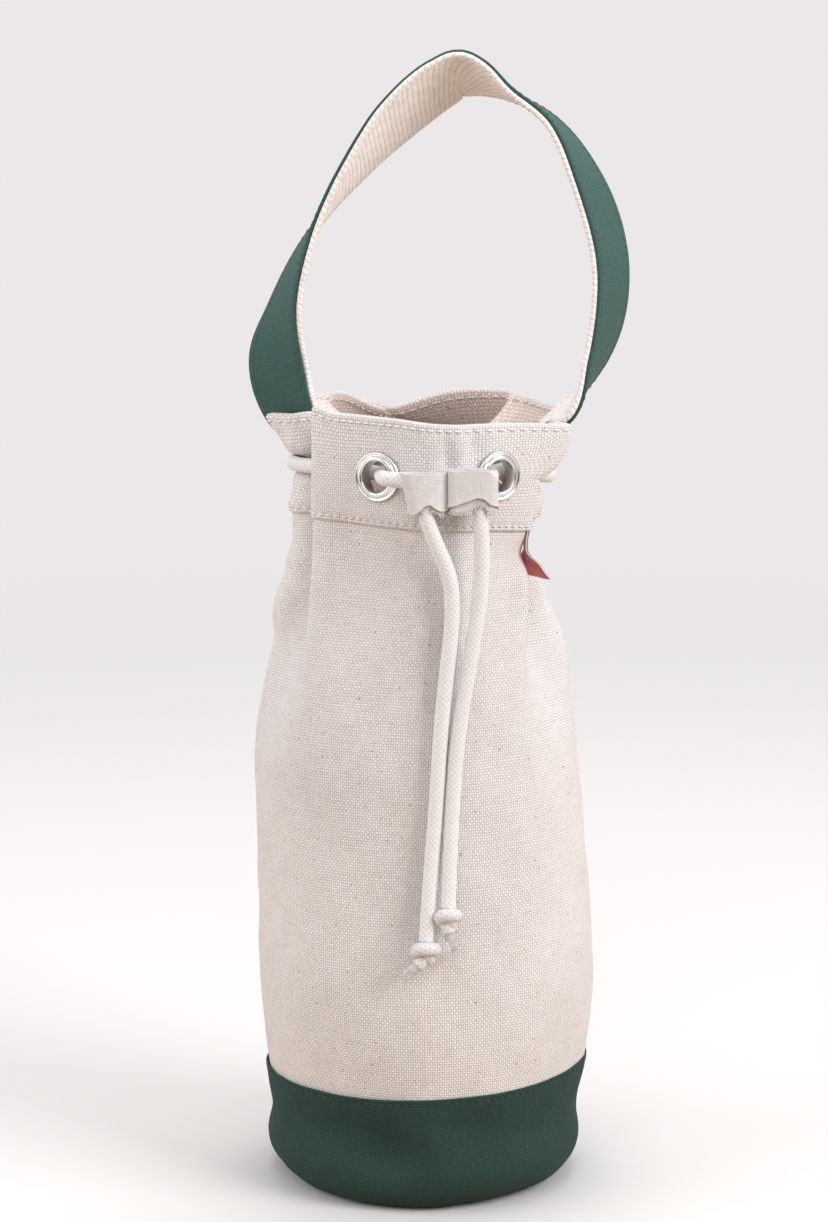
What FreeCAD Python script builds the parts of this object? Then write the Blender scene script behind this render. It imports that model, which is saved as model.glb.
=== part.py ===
import FreeCAD, Part
import math
import os

Vector = FreeCAD.Vector

# Cloth and cord
canvas = 1.0             # thickness of one canvas ply
ply_gap = 0.25           # clearance between neighbouring plies
seat_gap = 0.3           # clearance between cloth and the metal, tape or cord next to it
cord_diameter = 5.0
webbing_width = 30.0
webbing_thickness = 1.8
facing_width = 28.4
facing_thickness = 0.9

# Bag body
base_diameter = 110.0    # over the band, beside its lower edge
base_round = 14.0        # outside radius of the soft edge round the base
floor_gap = 0.3          # lowest line of the band above the floor
band_height = 41.0
pinch_height = 26.0      # where the band is drawn in most
pinch_depth = 1.6
belly_height = 72.0
belly_swell = 4.2        # how far the full body stands out past its base
gather_start = 138.0     # the round body starts to fold in here
gather_rest = 8.0        # the folds are full this far below the collar band
hem_height = 232.0       # lower edge of the collar band
eyelet_rise = 17.0       # eyelet centres over that edge
collar_height = 34.0     # from that edge to the rim

# Gathered collar, seen from above: corners of its folded outline
front_out = 4.0
front_reach = 57.0
left_fold_out = 38.0
right_fold_out = 40.0
fold_front = 33.0
valley_out = 19.5
valley_front = 13.5
side_reach_hem = 44.0
side_reach_cord = 36.7
side_reach_rim = 47.5
side_half_low = 8.0
side_half_rim = 12.0
left_skew = 6.0          # the left strap root faces partly forward
right_skew = 1.5
back_reach = 44.0
back_fold_out = 37.0
back_fold_reach = 36.0
front_round = 16.0
fold_round = 4.0
valley_round = 2.5
side_round = 6.0
back_round = 30.0

# Handle
left_root_inset = 2.9    # strap ends, inward from the reach of the rim
right_root_inset = -0.4
handle_swell = 16.0      # how far the loop swings out past its right end
handle_rise = 120.0
handle_split = 15.0      # height over the rim where the stiff loop starts
split_gap = 0.3

# Eyelets and washers
eyelet_bore = 10.4
eyelet_flange = 16.5
eyelet_sheet = 0.4
eyelet_dome = 1.5
washer_outer = 15.6
washer_thickness = 0.7
lip_outer = 12.8
lip_height = 0.9
left_eyelet_out = 17.6   # from the front corner to the eyelet, across
right_eyelet_out = 19.3
back_eyelet_out = 19.5

# Slider
slider_out = 8.1
slider_width = 31.6
slider_height = 14.4
slider_rise = 3.3        # its top edge over the eyelet centres
slider_inset = 0.8       # its back ply, behind the sharp corner of the collar's front
tunnel_width = 13.4
tunnel_depth = 6.6
slider_corner = 2.6
bottom_arch = 2.0        # rise of the lower edge over each cord
tunnel_clear = 0.45

# Cord ends
knot_length = 9.0
knot_diameter = 9.6
tip_length = 9.0
tip_diameter = 4.4
tip_end_diameter = 3.4
left_tip_stand = 2.3
right_tip_stand = 1.0
end_gap = 0.1
left_tip_way = (-0.75, -0.1, -0.65)
right_tip_way = (0.3, -0.1, -0.95)

# Side tag
tag_width = 12.0
tag_drop = 15.0
tag_flare = 5.0
tag_sheet = 0.4
tag_fold_gap = 0.5
tag_turn_deg = 66.0      # the way the tag faces, from the front round to the right

# Shape shares
line_shares = (0.25, 0.5, 0.75)
corner_shares = (0.0, 0.33, 0.67, 1.0)
gather_shares = (0.0, 0.2, 0.4, 0.58, 0.74, 0.88, 1.0)
gather_power = 1.3       # above 1 the folds form later on the way up
band_swell_share = 0.3
upper_swell_share = 0.8
gather_swell_share = 0.55
handle_cross_shares = (0.0, 0.0, 0.0, 0.045, 0.217, 0.399, 0.623, 0.779, 0.935, 1.0, 1.0, 1.0, 1.0, 1.0)
handle_swell_shares = (0.0, -0.326, -0.233, 0.0, 0.0, 0.0, 0.0, 0.0, 0.0, 0.446, 0.994, 0.859, 0.608, 0.0)
handle_up_shares = (-0.01, 0.128, 0.283, 0.478, 0.681, 0.833, 0.93,
                    0.898, 0.825, 0.65, 0.383, 0.222, 0.146, -0.01)
handle_twist_deg = (31, 32, 17, 0, -16, -29, -26, -9, 12, 18, 20, 18, 12, -9)

# Route of the drawcord: up the right tail, round the collar in and out of the eyelets, down the left tail
cord_route = [
    (9.4, -62.1, 109.2), (9.9, -60.5, 122.0), (10.4, -59.2, 142.0), (11.7, -58.6, 166.0),
    (15.3, -58.6, 190.0), (18.4, -59.0, 212.0), (18.0, -60.2, 229.0), (16.8, -60.6, 238.0),
    (17.2, -60.2, 245.0), (19.4, -57.0, 249.4), (23.7, -51.0, 249.0), (22.9, -37.0, 249.0),
    (29.5, -23.0, 249.0), (43.8, -8.6, 248.4), (43.8, 8.6, 248.4), (27.4, 23.7, 249.0),
    (19.2, 40.0, 249.0), (16.0, 48.9, 249.0), (7.4, 48.7, 248.6), (-7.4, 48.7, 248.6),
    (-16.0, 48.9, 249.0), (-19.2, 40.0, 249.0), (-27.4, 23.7, 249.0), (-43.8, 8.6, 248.4),
    (-43.8, -8.6, 248.4), (-28.4, -22.9, 249.0), (-13.6, -38.6, 249.0), (-13.3, -55.3, 249.0),
    (-5.2, -59.4, 249.2), (-0.6, -60.4, 245.2), (0.6, -60.6, 238.0), (3.4, -60.2, 230.0),
    (9.2, -59.2, 217.0), (9.6, -58.8, 203.0), (7.4, -58.6, 184.0), (5.4, -58.6, 162.0),
    (4.2, -59.1, 140.0), (2.4, -60.2, 118.0), (1.0, -62.5, 97.2),
]

gather_end = hem_height - gather_rest
eyelet_height = hem_height + eyelet_rise
rim_height = hem_height + collar_height
slider_top = eyelet_height + slider_rise
slider_back = front_reach - slider_inset
half_canvas = canvas / 2
band_offset = half_canvas + ply_gap
body_radius = base_diameter / 2 - canvas - band_offset
corner_radius = base_round - canvas - band_offset
corner_out = base_diameter / 2 - base_round
corner_height = floor_gap + base_round


def lerp(a, b, share):
    return a + (b - a) * share


def smooth(share):
    share = max(0.0, min(1.0, share))
    return share * share * (3 - 2 * share)


def collar_corners(level):
    """Corners of the folded outline, from the front centre round by the right."""
    if level <= hem_height:
        reach, half, turn = side_reach_hem, side_half_low, 0.0
    elif level <= eyelet_height:
        share = (level - hem_height) / (eyelet_height - hem_height)
        reach, half, turn = lerp(side_reach_hem, side_reach_cord, smooth(share)), side_half_low, 0.0
    else:
        turn = smooth((level - eyelet_height) / (rim_height - eyelet_height))
        reach = lerp(side_reach_cord, side_reach_rim, turn)
        half = lerp(side_half_low, side_half_rim, turn)
    left, right = left_skew * turn, right_skew * turn
    return [
        (front_out, -front_reach, front_round),
        (right_fold_out, -fold_front, fold_round),
        (valley_out, -valley_front, valley_round),
        (reach + right, -half, side_round),
        (reach - right, half, side_round),
        (valley_out, valley_front, valley_round),
        (back_fold_out, back_fold_reach, fold_round),
        (0.0, back_reach, back_round),
        (-back_fold_out, back_fold_reach, fold_round),
        (-valley_out, valley_front, valley_round),
        (-reach - left, half, side_round),
        (-reach + left, -half, side_round),
        (-valley_out, -valley_front, valley_round),
        (-left_fold_out, -fold_front, fold_round),
    ]


def outline_points(corners):
    """Points along an outline of straight sides with rounded corners."""
    rounds = []
    for i, (x, y, radius) in enumerate(corners):
        here = Vector(x, y, 0)
        back = Vector(*corners[i - 1][:2], 0) - here
        ahead = Vector(*corners[(i + 1) % len(corners)][:2], 0) - here
        back.normalize()
        ahead.normalize()
        half_angle = back.getAngle(ahead) / 2
        cut = radius / math.tan(half_angle)
        inward = back + ahead
        inward.normalize()
        middle = here + inward * (radius / math.sin(half_angle) - radius)
        rounds.append((here + back * cut, middle, here + ahead * cut))
    points = []
    for i, (start, middle, end) in enumerate(rounds):
        following = rounds[(i + 1) % len(rounds)][0]
        points += [start, middle, end]
        points += [end + (following - end) * share for share in line_shares]
    return points


def skin_rows():
    """Rows of points on the middle of the body cloth, from the base seam to the rim."""
    hem = outline_points(collar_corners(hem_height))
    count = len(hem)
    lengths = [hem[i].distanceToPoint(hem[(i + 1) % count]) for i in range(count)]
    total = sum(lengths)
    angles = [(sum(lengths[:i]) - lengths[0]) / total * 2 * math.pi for i in range(count)]

    def ring(radius, height):
        return [Vector(radius * math.sin(a), -radius * math.cos(a), height) for a in angles]

    rows = []
    for share in corner_shares:
        a = share * math.pi / 2
        rows.append(ring(corner_out + corner_radius * math.sin(a), corner_height - corner_radius * math.cos(a)))
    rows.append(ring(body_radius - pinch_depth, pinch_height))
    rows.append(ring(body_radius + belly_swell * band_swell_share, band_height))
    base_rows = len(rows)
    rows.append(ring(body_radius + belly_swell, belly_height))
    rows.append(ring(body_radius + belly_swell * upper_swell_share, (belly_height + gather_start) / 2))
    for share in gather_shares:
        height = lerp(gather_start, gather_end, share)
        mix = smooth(share) ** gather_power
        plain = ring(body_radius + belly_swell * gather_swell_share, height)
        rows.append([Vector(lerp(p.x, h.x, mix), lerp(p.y, h.y, mix), height) for p, h in zip(plain, hem)])
    levels = [hem_height, lerp(hem_height, eyelet_height, 0.5), eyelet_height,
              lerp(eyelet_height, rim_height, 0.5), rim_height]
    belly_end = len(rows) + 1
    for level in levels:
        rows.append([Vector(p.x, p.y, level) for p in outline_points(collar_corners(level))])
    return rows, base_rows, belly_end


def row_normals(rows):
    """Outward directions at every point of the rows."""
    normals = []
    last = len(rows) - 1
    for j, row in enumerate(rows):
        below, above = rows[max(j - 1, 0)], rows[min(j + 1, last)]
        line = []
        for i in range(len(row)):
            along = row[(i + 1) % len(row)] - row[i - 1]
            up = above[i] - below[i]
            out = along.cross(up)
            out.normalize()
            line.append(out)
        normals.append(line)
    return normals


def cloth_surface(rows, normals, offset):
    """One smooth surface beside the rows, closed round the bag."""
    net = [[p + n * offset for p, n in zip(row, line)] for row, line in zip(rows, normals)]
    count, levels = len(net[0]), len(net)
    poles = [[net[j][i] for j in range(levels)] for i in range(count)]
    surface = Part.BSplineSurface()
    surface.buildFromPolesMultsKnots(
        poles, [1] * (count + 1), [4] + [1] * (levels - 4) + [4],
        list(range(count + 1)), list(range(levels - 2)), True, False, 3, 3)
    return surface


def cloth_ply(zones, inside, outside):
    """A cloth wall between two offsets of the body cloth, over one or more zones of rows."""
    faces = []
    ends = []
    for rows, normals in zones:
        pair = [cloth_surface(rows, normals, offset) for offset in (inside, outside)]
        faces += [surface.toShape() for surface in pair]
        low, high = pair[0].bounds()[2:]
        ends.append([[surface.vIso(v).toShape() for surface in pair] for v in (low, high)])
    for inner, outer in (ends[0][0], ends[-1][1]):
        faces += Part.makeRuledSurface(inner, outer).Faces
    shell = Part.makeShell(faces)
    shell.sewShape()
    return Part.Solid(shell)


def facing_out(shape, out, centre):
    """Turn a shape built along +Z to look along a direction, and set it at a point."""
    turn = FreeCAD.Rotation(Vector(0, 0, 1), out)
    placed = shape.copy()
    placed.Placement = FreeCAD.Placement(centre, turn)
    return placed


def eyelet_places():
    """Centre and outward direction of each eyelet on the middle of the body cloth."""
    corners = [Vector(x, y, eyelet_height) for x, y, radius in collar_corners(eyelet_height)]
    sides = [(0, 1, right_eyelet_out), (1, 2, None), (5, 6, None), (6, 7, back_eyelet_out),
             (7, 8, back_eyelet_out), (8, 9, None), (12, 13, None), (13, 0, left_eyelet_out)]
    pads = outline_points(collar_corners(eyelet_height))
    places = []
    for first, second, across in sides:
        a, b = corners[first], corners[second]
        along = b - a
        if across is None:
            middle = pads[first * 6 + 4]
            centre = Vector(middle.x, middle.y, eyelet_height)
        else:
            near = a if first in (0, 7) else b
            towards = along if first in (0, 7) else a - b
            centre = near + towards * (across / abs(towards.x))
        along.normalize()
        places.append((centre, along.cross(Vector(0, 0, 1))))
    return places


def ring_profile(points):
    """Solid ring from points and arcs of a radial section (radius, height)."""
    edges = []
    for piece in points:
        ends = [Vector(r, 0, h) for r, h in piece]
        if len(ends) == 3:
            edges.append(Part.Arc(*ends).toShape())
        else:
            edges.append(Part.LineSegment(*ends).toShape())
    face = Part.Face(Part.Wire(edges))
    return face.revolve(Vector(0, 0, 0), Vector(0, 0, 1), 360)


def make_eyelet():
    bore, barrel = eyelet_bore / 2, eyelet_bore / 2 + eyelet_sheet
    flange, lip = eyelet_flange / 2, lip_outer / 2
    seat = band_offset + canvas + seat_gap
    inner = half_canvas + seat_gap + washer_thickness + ply_gap
    top = seat + eyelet_dome
    end = inner + lip_height
    return ring_profile([
        [(bore, -inner), (bore, seat + eyelet_sheet)],
        [(bore, seat + eyelet_sheet), (lerp(bore, flange, 0.45), top), (flange, seat + eyelet_sheet)],
        [(flange, seat + eyelet_sheet), (flange, seat)],
        [(flange, seat), (barrel, seat)],
        [(barrel, seat), (barrel, -inner)],
        [(barrel, -inner), (lip, -inner)],
        [(lip, -inner), (lerp(bore, lip, 0.5), -end), (bore, -inner)],
    ])


def make_washer():
    hole = eyelet_bore / 2 + eyelet_sheet + ply_gap
    edge = washer_outer / 2
    seat = half_canvas + seat_gap
    under = seat + washer_thickness
    return ring_profile([
        [(hole, -seat), (edge, -seat)],
        [(edge, -seat), (edge, -lerp(seat, under, 0.5))],
        [(edge, -lerp(seat, under, 0.5)), (lerp(hole, edge, 0.8), -under)],
        [(lerp(hole, edge, 0.8), -under), (hole, -under)],
        [(hole, -under), (hole, -seat)],
    ])


def strap_frames():
    """Centre, width direction and outward direction at each station of the handle."""
    left, right = left_root_inset - side_reach_rim, side_reach_rim - right_root_inset
    centres = [Vector(lerp(left, right, cross) + handle_swell * swell, 0, rim_height + handle_rise * up)
               for cross, swell, up in zip(handle_cross_shares, handle_swell_shares, handle_up_shares)]
    frames = []
    last = len(centres) - 1
    for i, centre in enumerate(centres):
        along = centres[min(i + 1, last)] - centres[max(i - 1, 0)]
        along.normalize()
        across = Vector(0, 1, 0)
        out = Vector(-along.z, 0, along.x)
        twist = math.radians(handle_twist_deg[i])
        wide = across * math.cos(twist) + out * math.sin(twist)
        thick = out * math.cos(twist) - across * math.sin(twist)
        frames.append((centre, wide, thick))
    return frames


def make_strap(width, inside, outside):
    """Strap ply from the left root to the right root, lofted through its stations."""
    wires = []
    for centre, wide, thick in strap_frames():
        corners = [centre + wide * (side * width / 2) + thick * depth
                   for side, depth in ((-1, inside), (1, inside), (1, outside), (-1, outside))]
        wires.append(Part.makePolygon(corners + corners[:1]))
    return Part.makeLoft(wires, True, False)


def block(low, high):
    """A wide block between two heights, to part the strap with."""
    reach = 4 * (side_reach_rim + handle_swell)
    return Part.makeBox(reach, reach, high - low, Vector(-reach / 2, -reach / 2, low))


def split_strap(strap):
    """The stiff loop, and the two lengths that flex beside the rim."""
    cut = rim_height + handle_split
    loop = strap.common(block(cut + split_gap / 2, rim_height + handle_rise * 2))
    flex = strap.common(block(rim_height + seat_gap, cut - split_gap / 2))
    ends = sorted(flex.Solids, key=lambda solid: solid.BoundBox.Center.x)
    return loop.Solids[0], ends[0], ends[-1]


def route_wire(points):
    """Straight runs joined by arcs, each arc as large as its two runs allow."""
    points = [Vector(*p) for p in points]
    edges = []
    start = points[0]
    for before, here, after in zip(points, points[1:], points[2:]):
        back, ahead = before - here, after - here
        run = min(back.Length, ahead.Length)
        turn = math.pi - back.getAngle(ahead)
        back.normalize()
        ahead.normalize()
        cut = 0.45 * run
        radius = cut / math.tan(turn / 2)
        inward = back + ahead
        inward.normalize()
        arc_start, arc_end = here + back * cut, here + ahead * cut
        arc_middle = here + inward * (radius / math.cos(turn / 2) - radius)
        edges.append(Part.LineSegment(start, arc_start).toShape())
        edges.append(Part.Arc(arc_start, arc_middle, arc_end).toShape())
        start = arc_end
    edges.append(Part.LineSegment(start, points[-1]).toShape())
    return Part.Wire(edges)


def make_tube(points, diameter):
    wire = route_wire(points)
    first = Vector(*points[0])
    along = Vector(*points[1]) - first
    profile = Part.Wire(Part.makeCircle(diameter / 2, first, along))
    return wire.makePipeShell([profile], True, False)


def rounded_face(width, depth, radius):
    """Flat rounded rectangle about the origin."""
    x, y = width / 2, depth / 2
    box = [(-x, -y), (x, -y), (x, y), (-x, y)]
    edges = []
    for i, (cx, cy) in enumerate(box):
        here = Vector(cx, cy, 0)
        back = Vector(*box[i - 1], 0) - here
        ahead = Vector(*box[(i + 1) % 4], 0) - here
        back.normalize()
        ahead.normalize()
        middle = here + (back + ahead) * (radius * (1 - math.sqrt(0.5)))
        edges.append(Part.Arc(here + back * radius, middle, here + ahead * radius).toShape())
    closed = []
    for arc, following in zip(edges, edges[1:] + edges[:1]):
        closed += [arc, Part.LineSegment(arc.Vertexes[-1].Point, following.Vertexes[0].Point).toShape()]
    return Part.Face(Part.Wire(closed))


def make_slider():
    """Two cloth tunnels side by side, stitched between, with room left round the cord."""
    half = slider_width / 2
    depth = tunnel_depth + 2 * canvas
    middle_depth = -(slider_back + depth / 2)
    low = slider_top - slider_height
    outer = None
    tunnels = []
    for side in (-1, 1):
        at = Vector(slider_out + side * half / 2, middle_depth, low)
        wall = rounded_face(half + ply_gap, depth, depth * 0.42).extrude(Vector(0, 0, slider_height))
        wall.translate(at)
        outer = wall if outer is None else outer.fuse(wall)
        bore = rounded_face(tunnel_width, tunnel_depth, tunnel_depth * 0.42).extrude(Vector(0, 0, slider_height))
        bore.translate(at)
        tunnels.append(bore)
        arch_radius = (tunnel_width ** 2 / 4 + bottom_arch ** 2) / (2 * bottom_arch)
        arch = Part.makeCylinder(arch_radius, 2 * depth,
                                 Vector(at.x, middle_depth - depth, low + bottom_arch - arch_radius), Vector(0, 1, 0))
        tunnels.append(arch)
    front = rounded_face(slider_width, slider_height + bottom_arch, slider_corner)
    front = front.extrude(Vector(0, 0, 2 * depth))
    front.rotate(Vector(0, 0, 0), Vector(1, 0, 0), 90)
    front.translate(Vector(slider_out, middle_depth + depth, low + (slider_height - bottom_arch) / 2))
    way = make_tube(cord_route, cord_diameter + 2 * tunnel_clear)
    return outer.common(front).cut(tunnels + [way]).Solids[0]


def make_knot():
    """Knot built downward from the origin: two rounded turns over a narrower core."""
    core, wide = cord_diameter / 2, knot_diameter / 2
    turn = knot_length / 2
    neck = lerp(core, wide, 0.6)
    return ring_profile([
        [(0, 0), (core, 0)],
        [(core, 0), (wide, -turn * 0.5), (neck, -turn)],
        [(neck, -turn), (wide, -turn * 1.5), (core, -knot_length)],
        [(core, -knot_length), (0, -knot_length)],
        [(0, -knot_length), (0, 0)],
    ])


def make_tip():
    """Clear sleeve on the cord end, built downward from the origin."""
    top, end = tip_diameter / 2, tip_end_diameter / 2
    straight = tip_length - end
    return ring_profile([
        [(0, 0), (top, 0)],
        [(top, 0), (end, -straight)],
        [(end, -straight), (end * math.sqrt(0.5), -straight - end * math.sqrt(0.5)), (0, -tip_length)],
        [(0, -tip_length), (0, 0)],
    ])


def make_tag():
    """Ribbon folded in two, hanging from the lower edge of the collar band."""
    thick = 2 * tag_sheet + tag_fold_gap
    drop = tag_drop - thick / 2
    slot = tag_fold_gap / 2
    outer = Part.makeBox(thick, tag_width, drop, Vector(-thick, -tag_width / 2, -drop))
    fold = Part.makeCylinder(thick / 2, tag_width, Vector(-thick / 2, -tag_width / 2, -drop), Vector(0, 1, 0))
    gap = Part.makeBox(2 * slot, tag_width, drop, Vector(-thick / 2 - slot, -tag_width / 2, -drop))
    round_gap = Part.makeCylinder(slot, tag_width, Vector(-thick / 2, -tag_width / 2, -drop), Vector(0, 1, 0))
    tag = outer.fuse(fold).cut([gap, round_gap]).removeSplitter()
    tag.rotate(Vector(0, 0, 0), Vector(0, 1, 0), -math.degrees(math.atan2(tag_flare, tag_drop)))
    place, out = tag_place()
    tag.rotate(Vector(0, 0, 0), Vector(0, 0, 1), math.degrees(math.atan2(out.y, out.x)))
    tag.translate(place)
    return tag.Solids[0]


def tag_place():
    """Middle of the tag's outer top edge, and the way it faces."""
    turn = math.radians(tag_turn_deg)
    out = Vector(math.sin(turn), -math.cos(turn), 0)
    fold = outline_points(collar_corners(hem_height))[7]
    thick = 2 * tag_sheet + tag_fold_gap
    place = Vector(fold.x, fold.y, hem_height - 2 * seat_gap) + out * (half_canvas + 2 * seat_gap + thick)
    return place, out


def main():
    os.makedirs("parts", exist_ok=True)
    rows, base_end, belly_end = skin_rows()
    normals = row_normals(rows)

    def zone(first, last):
        return rows[first:last], normals[first:last]

    base_zone = zone(0, base_end)
    belly_zone = zone(base_end - 1, belly_end)
    collar_zone = zone(belly_end - 1, len(rows))
    places = eyelet_places()
    barrel_hole = eyelet_bore / 2 + eyelet_sheet + seat_gap
    reach = canvas * 6
    holes = [Part.makeCylinder(barrel_hole, 2 * reach, centre - out * reach, out) for centre, out in places]

    solids = {}
    body = cloth_ply([base_zone, belly_zone, collar_zone], -half_canvas, half_canvas)
    solids["body_panel"] = body.cut(holes).Solids[0]
    collar = cloth_ply([collar_zone], band_offset, band_offset + canvas)
    solids["collar_band"] = collar.cut(holes).Solids[0]
    solids["base_band"] = cloth_ply([base_zone], band_offset, band_offset + canvas)
    solids["base_disc"] = Part.makeCylinder(corner_out - seat_gap, canvas + floor_gap)

    eyelet, washer = make_eyelet(), make_washer()
    for number, (centre, out) in enumerate(places, 1):
        solids["eyelet_%d" % number] = facing_out(eyelet, out, centre)
        solids["washer_%d" % number] = facing_out(washer, out, centre)

    webbing = make_strap(webbing_width, -webbing_thickness, 0.0)
    facing = make_strap(facing_width, ply_gap, ply_gap + facing_thickness)
    for name, strap in (("webbing", webbing), ("facing", facing)):
        loop, left, right = split_strap(strap)
        solids["handle_" + name] = loop
        solids[name + "_root_left"] = left
        solids[name + "_root_right"] = right

    solids["drawcord"] = make_tube(cord_route, cord_diameter)
    solids["cord_slider"] = make_slider()
    knot, tip = make_knot(), make_tip()
    tails = (("right", 0, 1, right_tip_way, right_tip_stand), ("left", -1, -2, left_tip_way, left_tip_stand))
    for side, end, before, tip_way, tip_stand in tails:
        last = Vector(*cord_route[end])
        down = last - Vector(*cord_route[before])
        down.normalize()
        top = last + down * end_gap
        solids["knot_" + side] = facing_out(knot, down * -1, top)
        way = Vector(*tip_way)
        way.normalize()
        below = top + down * (knot_length + end_gap)
        solids["tip_" + side] = facing_out(tip, way * -1, below + way * tip_stand)
    solids["side_tag"] = make_tag()

    for name, solid in solids.items():
        if not solid.isValid() or len(solid.Solids) != 1:
            raise RuntimeError("bad solid " + name)
        solid.exportStep("parts/" + name + ".step")


main()
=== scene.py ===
"""Looks of a drawstring canvas bottle carrier, dressed over its solid model."""

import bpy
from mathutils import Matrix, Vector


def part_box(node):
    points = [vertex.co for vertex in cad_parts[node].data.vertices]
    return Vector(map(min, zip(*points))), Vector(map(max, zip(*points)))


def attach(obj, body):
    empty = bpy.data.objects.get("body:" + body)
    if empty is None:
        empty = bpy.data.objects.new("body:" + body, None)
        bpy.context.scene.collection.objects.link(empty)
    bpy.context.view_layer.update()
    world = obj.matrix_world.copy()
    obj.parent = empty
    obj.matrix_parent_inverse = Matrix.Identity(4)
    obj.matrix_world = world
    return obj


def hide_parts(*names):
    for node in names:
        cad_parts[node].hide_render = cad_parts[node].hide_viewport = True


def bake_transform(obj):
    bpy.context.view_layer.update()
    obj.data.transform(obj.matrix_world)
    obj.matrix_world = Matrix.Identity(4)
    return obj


bl_info = {
    "name": "Canvas bottle carrier",
    "version": (1, 0, 0),
    "blender": (4, 5, 0),
    "location": "3D View > Sidebar > Carrier",
    "description": "Sews the cloth, strap, cord and small parts of a bottle carrier over its solid model",
    "category": "Object",
}

import math

import bpy
import numpy as np
from bpy.props import FloatProperty, FloatVectorProperty, IntProperty, PointerProperty
from mathutils import Vector

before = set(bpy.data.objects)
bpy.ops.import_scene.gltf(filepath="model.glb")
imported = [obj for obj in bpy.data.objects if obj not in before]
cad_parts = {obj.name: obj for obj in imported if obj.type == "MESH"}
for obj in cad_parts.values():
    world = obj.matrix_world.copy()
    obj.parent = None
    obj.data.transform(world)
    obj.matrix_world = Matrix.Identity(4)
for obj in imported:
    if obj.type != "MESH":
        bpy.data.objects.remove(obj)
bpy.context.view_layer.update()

MM = 0.001
UP = np.array((0.0, 0.0, 1.0))


def box_mm(node):
    """Lowest and highest corner of a solid, in millimetres."""
    low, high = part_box(node)
    return np.array(low) / MM, np.array(high) / MM


# Heights of the bag, from the solid model, in millimetres
HEM = box_mm("collar_band")[0][2]
RIM = box_mm("collar_band")[1][2]
BAND_TOP = box_mm("base_band")[1][2]
EYELETS = ["eyelet_%d" % number for number in range(1, 9)]
WASHERS = ["washer_%d" % number for number in range(1, 9)]
EYELET_LEVEL = float(np.mean(box_mm("eyelet_1"), axis=0)[2])

# Folded outline of the collar from above: corners as (out to the right, back), in millimetres
FRONT_OUT, FRONT_REACH = 4.0, 57.0
RIGHT_FOLD_OUT, LEFT_FOLD_OUT, FOLD_FRONT = 40.0, 38.0, 33.0
VALLEY_OUT, VALLEY_FRONT = 19.5, 13.5
LEFT_REACH_HEM, RIGHT_REACH_HEM, SIDE_REACH_CORD, SIDE_REACH_RIM = 44.0, 38.5, 36.7, 48.3
# How far the right fold is drawn in at the hem
RIGHT_TUCK = 3.0
# Flare of the right fold over the eyelets: out and back, the level where it starts, and how slowly it grows
FLARE, FLARE_START, FLARE_RISE = np.array((13.8, 9.2)), 247.5, 4.5
SIDE_HALF_LOW, SIDE_HALF_RIM = 8.0, 15.0
LEFT_SKEW, RIGHT_SKEW = 6.6, 1.9
EYELET_HEAD = 7.0
BACK_REACH, BACK_FOLD_OUT, BACK_FOLD_REACH = 44.0, 37.0, 36.0
FRONT_ROUND, FOLD_ROUND, VALLEY_ROUND, SIDE_ROUND, BACK_ROUND = 16.0, 4.0, 2.5, 6.0, 30.0
SIDE_SHARES = (0.25, 0.5, 0.75)
POLES_PER_CORNER = 6

# Slant of the hem, its reach up and down, and its lifts: corner round the bag, reach round, lift
HEM_SWAY, HEM_SWAY_REACH = 0.05, 10.0
HEM_LIFT = ((11.0, 12.0, -1.5), (10.0, 14.0, -1.5), (1.0, 14.0, -0.8))

# Side line of the body: height, radius at the middle of the cloth, and shift to the right
BODY_LINE = (
    (14.3, 53.2, 0.8), (24.0, 52.3, 1.2), (36.0, 54.0, 1.2), (42.0, 54.8, 1.2), (55.0, 56.6, 1.1),
    (69.0, 57.4, 1.0), (99.0, 56.6, 0.3), (125.0, 55.9, -1.0), (150.0, 55.4, -2.1), (173.0, 55.2, -1.9),
    (194.0, 55.2, -1.3), (210.0, 55.2, -0.4), (224.0, 55.2, 0.0),
)
# Rounded corner at the bottom, and the gather from the round body to the folded collar
CORNER_RADIUS = 12.25
CORNER_LEVEL = 14.3
SEAM_LEVEL = CORNER_LEVEL - CORNER_RADIUS * math.pi / 2
GATHER_START, GATHER_REST, GATHER_POWER = 138.0, 8.0, 1.3

# Seam down the back, and rows of stitches all round with their puckers
BACK_CORNER, SEAM_HALF = 7.0, 5.0
STITCHES_ROUND = 126
RIM_STITCH, HEM_STITCH, BAND_STITCH = RIM - 2.0, HEM + 1.6, BAND_TOP - 1.7
STITCH_LEVELS = (RIM_STITCH, HEM_STITCH, BAND_STITCH)
SEAM_SWELL, SEAM_EDGE, SEAM_REST = 0.5, 0.8, 1.0
PUCKER_DEPTH, PUCKER_REACH = 0.16, 0.9

# Waves of the cloth: depth, waves round the bag, turn per millimetre of height, start
WAVES = ((0.22, 3, 0.045, 0.0), (0.16, 7, -0.083, 1.3), (0.10, 13, 0.19, 0.7), (0.07, 19, -0.31, 0.0))
# The stiff collar takes up this share of the waves, from a level on and over a rise
CALM_SHARE, CALM_START, CALM_RISE = 0.85, 225.0, 10.0

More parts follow.
